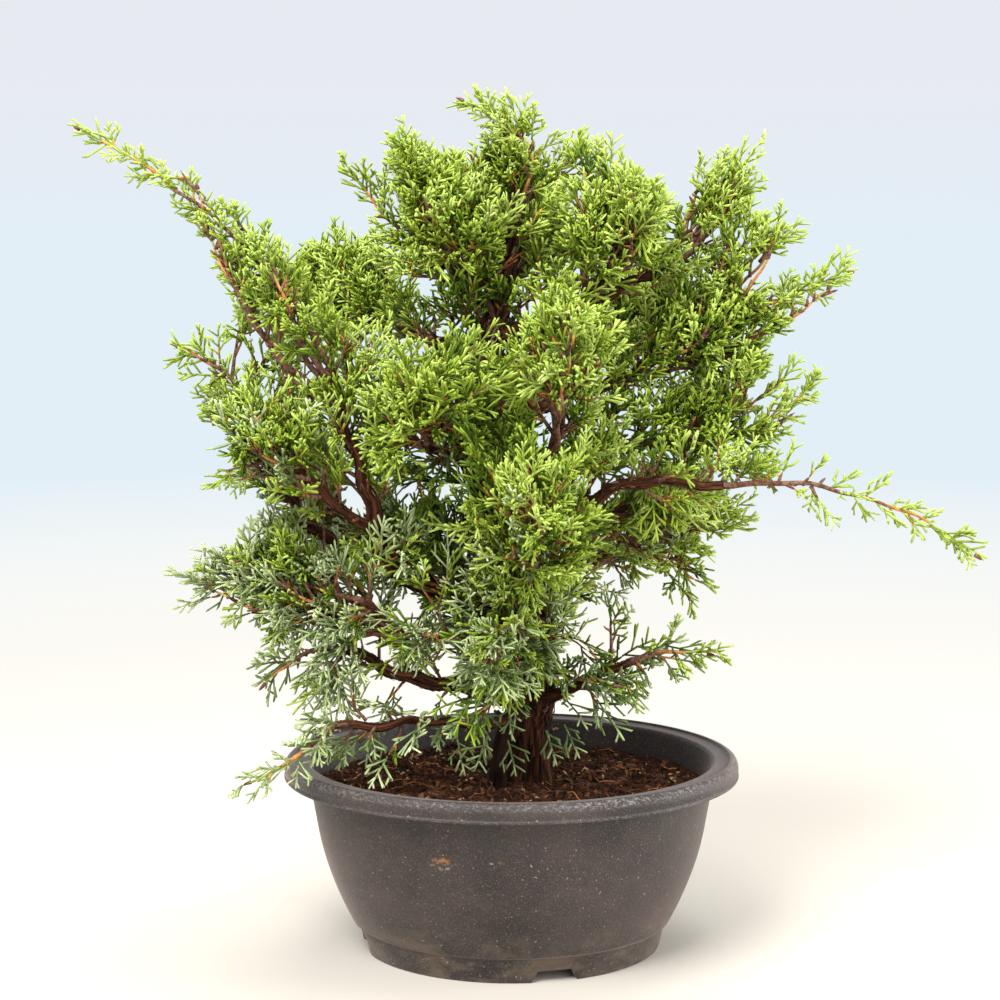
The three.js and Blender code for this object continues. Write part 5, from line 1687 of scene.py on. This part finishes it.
spray_pasts = past_crown(spray_starts)
green_materials = [leaf_green("leaf_" + name, colour) for name, colour in GREENS.items()]
for number, (name, (slot, members)) in enumerate(LEAF_PIECES.items()):
    chosen = np.isin(spray_masses, [mass_names.index(member) for member in members])
    chance = np.random.default_rng(300 + number)
    roots, ends, young = spray_cords(*(values[chosen] for values in (
        spray_starts, spray_ways, spray_sides, spray_lengths, spray_loose)), chance)
    tone, grey = spray_tones(chosen, chance)
    thick = np.full(roots.shape[:2], CORD_THICK) * chance.uniform(*CORD_THICK_SPREAD, (len(roots), 1))
    points, faces = cord_bodies(roots.reshape(-1, 3), ends.reshape(-1, 3), thick.ravel(), chance)
    greens = np.where(grey[:, None], GREY_TONES[tone][:, young], FRESH_TONES[tone][:, young])
    greens[chance.uniform(0, 1, len(roots)) < AMBER_SHARE, 0] = AMBER
    of_face = np.repeat(greens.ravel(), faces.shape[1])
    leaves = piece("leaves_" + name, points, [faces.reshape(-1, 3)], green_materials, of_face)
    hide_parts(*("foliage_" + member for member in members))


# The set is a plain pale dish: a floor that runs out and curves up all round into a pale wall, lit softly
# from above and in front. The camera stands where the photograph was taken, a little above the rim.

FLOOR_CREAM = (0.480, 0.446, 0.388, 1)
WALL_WHITE = (0.965, 0.962, 0.926, 1)
WALL_BLUE = (0.761, 0.863, 0.931, 1)
WALL_TOP = (0.807, 0.823, 0.880, 1)
AIR_WHITE = (0.95, 0.97, 1.0, 1)
AIR_STRENGTH = 0.34
FLOOR_REACH = 2200
DISH_CURVE = 800
WALL_HEIGHTS = (1100, 3200)
DISH_ROUND_STEPS = 96
CAMERA_PITCH = np.radians(7.87)
CAMERA_LENS = 70.96
CAMERA_SENSOR = 36


def dish():
    """Rings of a floor out to 2.2 m, then an arc up into a wall 3.2 m high."""
    floor, rise = np.linspace(0.01, FLOOR_REACH, 40), np.linspace(*WALL_HEIGHTS, 8)
    turn = np.linspace(0.1, np.pi / 2, 12)
    wall = np.full(len(rise), float(FLOOR_REACH + DISH_CURVE))
    radius = np.concatenate([floor, FLOOR_REACH + DISH_CURVE * np.sin(turn), wall])[:, None]
    height = np.concatenate([0 * floor, DISH_CURVE - DISH_CURVE * np.cos(turn), rise])[:, None]
    angle = np.linspace(0, 2 * np.pi, DISH_ROUND_STEPS, endpoint=False)
    return np.stack([radius * np.cos(angle), radius * np.sin(angle), height + 0 * angle], -1)


def pale_paper():
    """Pale paper: it takes light and shade round the pot, and further out glows evenly, blue-white
    upwards."""
    material, place, shader = new_material("pale_paper")
    far = place.vector("MULTIPLY", (1, 1, 0)).length()
    out = far * 0.25 + place.part(2) * 0.5
    stops = [(0.0, WALL_WHITE), (0.20, WALL_WHITE), (0.42, WALL_BLUE), (0.72, WALL_BLUE), (0.9, WALL_TOP)]
    glow = out.node("ValToRGB", {"stops": stops}, {0: out.maths("DIVIDE", out, 1.2, True)})
    dress(shader, Base_Color=FLOOR_CREAM, Roughness=0.9)
    tree = material.node_tree
    light = tree.nodes.new("ShaderNodeEmission")
    tree.links.new(glow.socket, light.inputs["Color"])
    both = tree.nodes.new("ShaderNodeMixShader")
    tree.links.new(far.band(0.25, 1.1).socket, both.inputs[0])
    tree.links.new(shader.outputs[0], both.inputs[1])
    tree.links.new(light.outputs[0], both.inputs[2])
    tree.links.new(both.outputs[0], tree.nodes["Material Output"].inputs["Surface"])
    material.cycles.emission_sampling = "NONE"
    return material


def soft_light(name, place, aim, size, power):
    """A square area light that faces a point."""
    lamp = bpy.data.lights.new(name, "AREA")
    lamp.size = size
    lamp.energy = power
    made = bpy.data.objects.new(name, lamp)
    bpy.context.scene.collection.objects.link(made)
    made.location = POT_MIDDLE + np.array(place) / 1000
    way = np.array(place) - np.array(aim)
    made.rotation_euler = (np.arctan2(np.hypot(way[0], way[1]), way[2]), 0, np.arctan2(way[0], -way[1]))
    return made


paper_points = dish()
paper_faces = grid_faces(*paper_points.shape[:2])[:, ::-1]
paper_mesh = bpy.data.meshes.new("paper_dish")
paper_mesh.from_pydata((paper_points.reshape(-1, 3) / 1000 + POT_MIDDLE).tolist(), [], paper_faces.tolist())
paper_mesh.polygons.foreach_set("use_smooth", np.ones(len(paper_mesh.polygons), bool))
paper_mesh.materials.append(pale_paper())
paper = bpy.data.objects.new("paper_dish", paper_mesh)
bpy.context.scene.collection.objects.link(paper)

soft_light("key_light", (-650, -1000, 1600), (0, 0, 230), 0.95, 60)
soft_light("front_fill", (900, -1300, 700), (0, 0, 200), 1.2, 12)
soft_light("side_fill", (1500, 0, 420), (0, 0, 80), 0.7, 20)
soft_light("top_light", (100, 250, 1500), (0, 0, 250), 1.0, 24)

world = bpy.data.worlds.new("studio_air")
world.use_nodes = True
world.node_tree.nodes["Background"].inputs["Color"].default_value = AIR_WHITE
world.node_tree.nodes["Background"].inputs["Strength"].default_value = AIR_STRENGTH
bpy.context.scene.world = world
bpy.context.scene.view_settings.view_transform = "Standard"

camera_data = bpy.data.cameras.new("photo_camera")
camera_data.lens = CAMERA_LENS
camera_data.sensor_width = CAMERA_SENSOR
camera = bpy.data.objects.new("photo_camera", camera_data)
bpy.context.scene.collection.objects.link(camera)
camera.location = POT_MIDDLE + CAMERA_PLACE / 1000
camera.rotation_euler = (np.pi / 2 - CAMERA_PITCH, 0, 0)
bpy.context.scene.camera = camera
